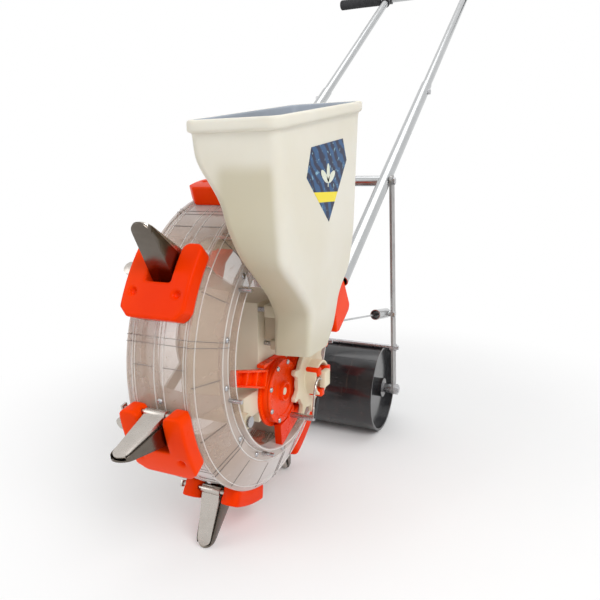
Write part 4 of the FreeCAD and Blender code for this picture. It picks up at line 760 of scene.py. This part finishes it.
def repeated(work, name, finish, body, copies, start=0.0):
    """Repeat mesh work drawn about the axle, as one plain mesh on one body."""
    bmesh.ops.recalc_face_normals(work, faces=work.faces)
    piece = new_object(name, mesh_from(work, name))
    modifier = piece.modifiers.new("repeat", "NODES")
    modifier.node_group = ROUND_TREE
    modifier[SOCKETS["Copies"]] = copies
    modifier[SOCKETS["Start Angle"]] = start
    modifier[SOCKETS["Step Angle"]] = -2 * math.pi / copies
    modifier[SOCKETS["Centre"]] = tuple(AXLE)
    modifier[SOCKETS["Finish"]] = finish
    piece.data = evaluated_mesh(piece)
    piece.modifiers.clear()
    smooth_by_angle(piece.data)
    return finish_piece(piece, name, finish, body)


print("repeat tree inputs:", ", ".join(SOCKETS))

# %% [markdown]
# The clear shells are moulded with raised lines beside each partition, round each rim
# and round the flange, which is what the eye reads on clear plastic. Bump alone would
# be lost at the edge of the ring, so each line is a low mesh on the wall. The lines
# across are repeated by the tree, and the hoops are swept once round the axle.

# %% A ridge and a hoop
RIDGE_WIDE = 1.1
RIDGE_HIGH = 0.7


def ridge(work, points, lean, wide=RIDGE_WIDE, high=RIDGE_HIGH):
    """Add a raised line over (side, radius) points, at an angle from straight down."""
    turn = math.radians(lean)
    rows = []
    for index, (side, radius) in enumerate(points):
        before = points[max(index - 1, 0)]
        after = points[min(index + 1, len(points) - 1)]
        run = Vector((after[0] - before[0], after[1] - before[1])).normalized()
        out = Vector((-run.y, run.x))
        if out.dot(Vector((side * 0.6, radius - 150))) < 0:
            out = -out
        row = []
        for over, up in ((-wide / 2, -0.3), (-wide / 3, high), (wide / 3, high), (wide / 2, -0.3)):
            x, r = side + out.x * up, radius + out.y * up
            row.append(work.verts.new(Vector((x, over * math.cos(turn) - r * math.sin(turn),
                                              -over * math.sin(turn) - r * math.cos(turn))) * MM))
        rows.append(row)
    skin(work, rows)
    work.faces.new(rows[0])
    work.faces.new(rows[-1])


def hoop(work, side, radius, thick=0.7, steps=112):
    """Add a thin raised hoop round the axle."""
    rings = []
    for index in range(steps):
        turn = 2 * math.pi * index / steps
        ring = []
        for corner in range(6):
            lean = math.pi * 2 * corner / 6
            r = radius + thick * math.cos(lean)
            ring.append(work.verts.new(AXLE + Vector((side + thick * math.sin(lean), r * math.sin(turn),
                                                      -r * math.cos(turn))) * MM))
        rings.append(ring)
    skin(work, rings, closed=True)


print("ridge section:", RIDGE_WIDE, "by", RIDGE_HIGH, "mm")

# %% [markdown]
# A line runs from the middle of the crown over the edge bead and down the chamfer to the
# flange, as (side, radius) places. Two lie beside each partition and shorter ones between.

# %% Raised lines on the clear ring
ACROSS = [(1, 200), (38.4, 200), (39.6, 203.1), (42.2, 203.1), (59.1, 162), (59.2, 147)]
CHAMFER = [(43.5, 200), (58.2, 164)]
CROWN = [(6, 200), (34, 200)]
LINES = [(ACROSS, -1.1), (ACROSS, 1.1), (CHAMFER, 17.0), (CHAMFER, -14.0), (CROWN, 8.0), (CROWN, -8.5)]
HOOPS = [(36.5, 200.2), (33.2, 200.1), (6, 200.1), (45, 196.6), (59.2, 160), (59.2, 148.6), (67, 144.6)]
work = bmesh.new()
for side in (1, -1):
    for line, lean in LINES:
        ridge(work, [(side * at, radius) for at, radius in line], lean)
repeated(work, "ring_partition_lines", clear_line_painted_shade, "drum", BEAKS)
work = bmesh.new()
for side in (1, -1):
    for at, radius in HOOPS:
        hoop(work, side * at, radius)
made(work, "ring_hoops", clear_edge_painted_highlight, "drum")
print("ring lines made")

# %% [markdown]
# The small screws have round heads with a cross recess. A head is a lathe profile, and
# its last two rings alternate between wide and narrow to sink the cross, which costs far
# fewer faces than a boolean. The same tree puts copies round the ring.

# %% Screws
CROSS_STEP = 5  # every fifth point round the recess is an arm of the cross


def screw_head(work, base, way, radius=3.5, high=2.4, sides=20):
    """Add a domed screw head with a cross recess, its base at a place about the axle."""
    side = way.orthogonal().normalized()
    other = way.cross(side)
    dome = [(radius, 0), (radius, 0.25), (radius * 0.93, 0.6), (radius * 0.72, 0.86), (radius * 0.45, 0.97)]
    rings = [round_ring(work, base + way * rise * high * MM, side, other, size, sides) for size, rise in dome]
    for rise, share in ((0.97, 1), (0.55, 0.8)):
        ring = []
        for index in range(sides):
            turn = 2 * math.pi * index / sides
            size = radius * (0.45 if index % CROSS_STEP == 0 else 0.17) * share
            ring.append(work.verts.new(base + way * rise * high * MM
                                       + (side * math.cos(turn) + other * math.sin(turn)) * size * MM * 0.9))
        rings.append(ring)
    skin(work, rings)
    work.faces.new(rings[0])
    work.faces.new(rings[-1])


SIDEWAYS = Vector((1, 0, 0))
FLANGE_SCREW_LEADS = (6.7, -23.5)
work = bmesh.new()
for lead in FLANGE_SCREW_LEADS:
    back, rise = ring_spot(153.5, lead)
    for side in (1, -1):
        screw_head(work, Vector((side * 59, back, rise)) * MM, side * SIDEWAYS)
back, rise = ring_spot(200.2, 5.6)
screw_head(work, Vector((0, back, rise)) * MM, Vector((0, back, rise)).normalized(), high=2.2)
screws = repeated(work, "ring_screws", zinc, "drum", BEAKS, math.radians(-180 / BEAKS))
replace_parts(screws, "drum_screws")
work = bmesh.new()
COVER_REACH = 44 - 3.5 - 0.2
for angle in (200, 245, 290, 335, 20):
    turn = math.radians(angle)
    spot = place(65.2, -13 + COVER_REACH * math.sin(turn), -65 + COVER_REACH * math.cos(turn))
    screw_head(work, spot, SIDEWAYS)
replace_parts(made(work, "cover_screws", zinc, "frame"), "case_screws")
print("ring screws:", len(screws.data.polygons), "faces")

# %% [markdown]
# Foam grips are cut from soft tube, so their ends are rounded and they are squeezed
# where hands have held them. Each one is a lathe shape with shallow rings.

# %% Foam grips
def grip(name):
    """Make a foam grip where the CAD one is."""
    low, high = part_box(name)
    middle = (low + high) / 2
    half, radius = (high.x - low.x) / 2, (high.z - low.z) / 2
    rings = []
    work = bmesh.new()
    # Each place along the grip is a share of its length and a share of its radius.
    outline = [(0.0, 0.66), (0.006, 0.80), (0.02, 0.93)]
    for step in range(61):
        share = step / 60
        squeeze = 0.03 * math.sin(math.pi * share)
        outline.append((0.04 + 0.92 * share, 0.97 - squeeze + 0.012 * math.cos(step * 2.1)))
    outline += [(0.98, 0.93), (0.994, 0.80), (1.0, 0.66)]
    for share, size in outline:
        x = middle.x + half * (2 * share - 1)
        rings.append([work.verts.new((x, middle.y + radius * size * math.cos(turn),
                                      middle.z + radius * size * math.sin(turn)))
                      for turn in (2 * math.pi * index / 28 for index in range(28))])
    skin(work, rings)
    work.faces.new(rings[0])
    work.faces.new(rings[-1])
    piece = made(work, name + "_foam", foam, "frame", 60)
    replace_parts(piece, name)


grip("grip_near")
grip("grip_far")
print("foam grips made")

# %% [markdown]
# The near centre plate is a moulded rim round the gear case with a ribbed arm that
# reaches ahead to the ring. The CAD arm is a plain bar, so it is cut off a copy with a
# boolean, which keeps the rim as it is, and a better arm takes its place in the next cell.

# %% Near centre plate without its bar
def cut_away(name, boxes):
    """Give a copy of a CAD piece without what lies in some boxes, in millimetres."""
    piece = new_object(name + "_copy", mesh_from(merged_copy(name), name + "_copy"))
    tools = []
    for low, high in boxes:
        work = bmesh.new()
        soft_box(work, low, high, 0.3, 1)
        tool = new_object("tool", mesh_from(work, "tool"))
        cutter = piece.modifiers.new("cut", "BOOLEAN")
        cutter.operation, cutter.object, cutter.solver = "DIFFERENCE", tool, "EXACT"
        tools.append(tool)
    piece.data = evaluated_mesh(piece)
    piece.modifiers.clear()
    for tool in tools:
        bpy.data.objects.remove(tool)
    return piece


plate = cut_away("centre_plate_near", [((50, -145, -14.5), (64, 57, 30)), ((50, -145, -45), (64, -63, 0))])
smooth_by_angle(plate.data)
finish_piece(plate, "near_plate", orange_worn, "frame")
print("near plate:", len(plate.data.polygons), "faces")

# %% [markdown]
# The new arm is hollow, with flanges and ribs, as moulded arms are. It could be one
# extruded outline, but slabs laid along the arm taper together and keep their soft edges.
# A gusset stiffens the plate under the case.

# %% Ribbed arm
work = bmesh.new()
ARM_ROOT, ARM_END = Vector((-54, -36)), Vector((-134, -11))
ARM_LENGTH = 84
arm_run = (ARM_END - ARM_ROOT).normalized()
arm_up = Vector((arm_run.y, -arm_run.x))


def arm_slab(along_from, along_to, up_from, up_to, side_from, side_to):
    """Add a slab of the arm, laid out along and across its run."""
    outline = ((along_from, up_from), (along_to, up_from), (along_to, up_to), (along_from, up_to))
    corners = []
    for side in (side_from, side_to):
        for distance, rise in outline:
            taper = 1 - 0.22 * distance / ARM_LENGTH
            spot = ARM_ROOT + arm_run * distance + arm_up * rise * taper
            corners.append(work.verts.new(place(side, spot.x, spot.y)))
    faces = [(0, 1, 2, 3), (4, 5, 6, 7), (0, 1, 5, 4), (1, 2, 6, 5), (2, 3, 7, 6), (3, 0, 4, 7)]
    made_faces = [work.faces.new([corners[index] for index in numbers]) for numbers in faces]
    edges = list({edge for face in made_faces for edge in face.edges})
    bmesh.ops.bevel(work, geom=edges, offset=0.0006, segments=2, profile=0.5, affect="EDGES")


arm_slab(0, ARM_LENGTH, -12, 12, 52, 54.5)
arm_slab(0, ARM_LENGTH, 9.4, 12.4, 52, 62)
arm_slab(0, ARM_LENGTH, -12.4, -9.4, 52, 62)
for start in (0, 27, 54, 81):
    arm_slab(start, start + 3, -11, 11, 52, 61.4)
GUSSET = [(-24, -112), (42, -104), (40, -120), (-20, -143)]
low_side = [work.verts.new(place(56, back, rise)) for back, rise in GUSSET]
high_side = [work.verts.new(place(66, back, rise)) for back, rise in GUSSET]
work.faces.new(low_side)
work.faces.new(high_side)
skin(work, [low_side, high_side])
arm = made(work, "near_plate_arm", orange_worn, "frame")
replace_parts(arm, "centre_plate_near")
print("ribbed arm made")

# %% [markdown]
# The bracket's sleeve is short on the real machine, so a copy of the CAD bracket is cut
# square across the handle tube, trimmed below, and relaxed like the seats. A plane cut
# leaves one clean rim to fill, so no boolean is needed.

# %% Near bracket
HANDLE_PITCH = math.radians(33.7)
HANDLE_WAY = Vector((0, math.cos(HANDLE_PITCH), math.sin(HANDLE_PITCH)))
BRACKET_SIDE = 112
SLEEVE_END = 139


def on_handle(side, distance):
    """Give a place on the handle tube's line, at a distance from its foot in millimetres."""
    return place(side, -33 + distance * math.cos(HANDLE_PITCH), distance * math.sin(HANDLE_PITCH))


work = merged_copy("bracket_near")
cut_off(work, on_handle(BRACKET_SIDE, SLEEVE_END), HANDLE_WAY)
cut_off(work, place(BRACKET_SIDE, 96, 26), (0, 0.5, -0.866))
relaxed("bracket_near", 0.0014, 5, work)
print("near bracket made")

# %% [markdown]
# The latch is a bent wire hook on a steel hinge rod with a black sleeve to pull. A
# curve with a bevel could bend the wire, but short bars that meet at its bends are as
# smooth at this size. The star's hub carries orange drive blocks between its cream ribs.

# %% Latch and hub blocks
work = bmesh.new()
rod(work, (53, 10, -108), (102, 10, -108), 4)
made(work, "latch_rod", zinc, "latch_bail")
work = bmesh.new()
HOOK = [(10, -106), (12, -92), (14, -74), (19, -62), (26, -56), (34, -56), (40, -60)]
for start, end in zip(HOOK, HOOK[1:]):
    rod(work, (100, *start), (100, *end), 1.6, 0.2, 14)
latch = made(work, "latch_hook", jaw_steel, "latch_bail", 70)
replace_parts(latch, "latch")
work = bmesh.new()
rod(work, (101, 10, -108), (101, 24, -82), 2.6, 0.5, 18)
made(work, "latch_sleeve", black_plastic, "latch_bail")
work = bmesh.new()
for number in range(3):
    angle = math.radians(120 * number + 20)
    back, rise = 62 + 21 * math.cos(angle), -65 + 21 * math.sin(angle)
    soft_box(work, (75.2, back - 6, rise - 6), (96, back + 6, rise + 6), 2)
made(work, "hub_blocks", orange_worn, "star")
print("latch and hub blocks made")

# %% [markdown]
# The photograph was taken from the machine's front, on the hopper's side and a little
# above the axle. A camera could be aimed by eye, but three directions and a distance
# measured from the photograph place it exactly.

# %% Camera
RIGHT = Vector((0.9134, 0.4070, -0.0010))
DOWN = Vector((0.0786, -0.1788, -0.9807))
AHEAD = Vector((-0.3994, 0.8957, -0.1953))
SENSOR = 36
FOCAL_SHARE = 594.4 / 600
camera = new_object("camera", bpy.data.cameras.new("camera"))
turn = Matrix((RIGHT, -DOWN, -AHEAD)).transposed()
camera.matrix_world = Matrix.Translation(place(404.0, -716.3, 218.3)) @ turn.to_4x4()
camera.data.sensor_width = SENSOR
camera.data.lens = FOCAL_SHARE * SENSOR
camera.data.clip_start = 0.01
bpy.context.scene.camera = camera
print("camera lens:", round(camera.data.lens, 2), "mm")

# %% [markdown]
# The machine stands on a plain white ground. A white floor under lamps goes grey or
# burns out, so it fades into plain white light a short way from the machine and keeps
# only the soft shadow near it. Only what is seen, straight or in the metal, is brightened.

# %% Floor
FLOOR_REACH = 6.0
floor_mesh = bpy.data.meshes.new("floor")
floor_mesh.from_pydata([(x * FLOOR_REACH, y * FLOOR_REACH, 0) for x, y in ((-1, -1), (1, -1), (1, 1), (-1, 1))],
                       [], [(0, 1, 2, 3)])
floor = new_object("floor", floor_mesh)
floor.location.z = -0.0005
ground = Recipe("pale floor")
grit = ground.noise(3, 3)
near_floor = ground.add("ShaderNodeBsdfPrincipled", {}, {
    "Base Color": ground.blend(grit, (0.93, 0.93, 0.93), (0.90, 0.90, 0.90)), "Roughness": 0.8})
far_floor = ground.add("ShaderNodeEmission", {}, {"Color": (1, 1, 1, 1), "Strength": 1.0})
rays = [ground.add("ShaderNodeLightPath", {}, {}, kind)
        for kind in ("Is Camera Ray", "Is Glossy Ray", "Is Transmission Ray")]
seen = rays[0].either(rays[1]).either(rays[2])
away = ground.add("ShaderNodeVectorMath", {"operation": "LENGTH"}, {0: ground.spot}, "Value")
mix = ground.add("ShaderNodeMixShader", {}, {0: away.between(0.30, 0.85) * seen, 1: near_floor, 2: far_floor})
dress(floor, ground.end(mix))
print("floor:", 2 * FLOOR_REACH, "m wide")

# %% [markdown]
# The white around the object comes from the world as the camera, the metal and the clear
# plastic see it. Its light on the object is half as strong, so that shapes keep their
# shading. A picture of a studio could light it too, but plain white needs no picture.

# %% World
world = bpy.data.worlds.new("studio")
bpy.context.scene.world = world
world.use_nodes = True
sky = world.node_tree
sky.nodes.clear()
path = sky.nodes.new("ShaderNodeLightPath")


def either(first, second):
    node = sky.nodes.new("ShaderNodeMath")
    node.operation = "MAXIMUM"
    sky.links.new(first, node.inputs[0])
    sky.links.new(second, node.inputs[1])
    return node.outputs[0]


glow = sky.nodes.new("ShaderNodeMapRange")
seen = either(either(path.outputs["Is Camera Ray"], path.outputs["Is Glossy Ray"]),
              path.outputs["Is Transmission Ray"])
sky.links.new(seen, glow.inputs["Value"])
glow.inputs["To Min"].default_value = 0.5
glow.inputs["To Max"].default_value = 1.0
light = sky.nodes.new("ShaderNodeBackground")
light.inputs["Color"].default_value = (1, 1, 1, 1)
sky.links.new(glow.outputs[0], light.inputs["Strength"])
sky_end = sky.nodes.new("ShaderNodeOutputWorld")
sky.links.new(light.outputs[0], sky_end.inputs["Surface"])
print("world:", world.name)

# %% [markdown]
# Three large soft lamps stand where softboxes would in a studio: the key on the hopper's
# side, a weaker fill across from it, and one above. Small lamps would burn spots into the
# polished tubes.

# %% Lamps
def lamp(name, at, aim, size, power):
    data = bpy.data.lights.new(name, "AREA")
    data.size = size
    data.energy = power
    item = new_object(name, data)
    item.location = at
    item.rotation_euler = (Vector(aim) - Vector(at)).to_track_quat("-Z", "Y").to_euler()


lamp("key", (1.9, -1.6, 2.3), (0, -0.3, 0.3), 1.4, 44)
lamp("fill", (-2.0, -2.2, 1.5), (0, -0.3, 0.3), 1.8, 16)
lamp("top", (0.2, 0.3, 2.8), (0, -0.1, 0.3), 2.0, 20)
bpy.context.scene.view_settings.view_transform = "Standard"
print("lamps:", len(bpy.data.lights))

# %% Scene built
print("scene built")
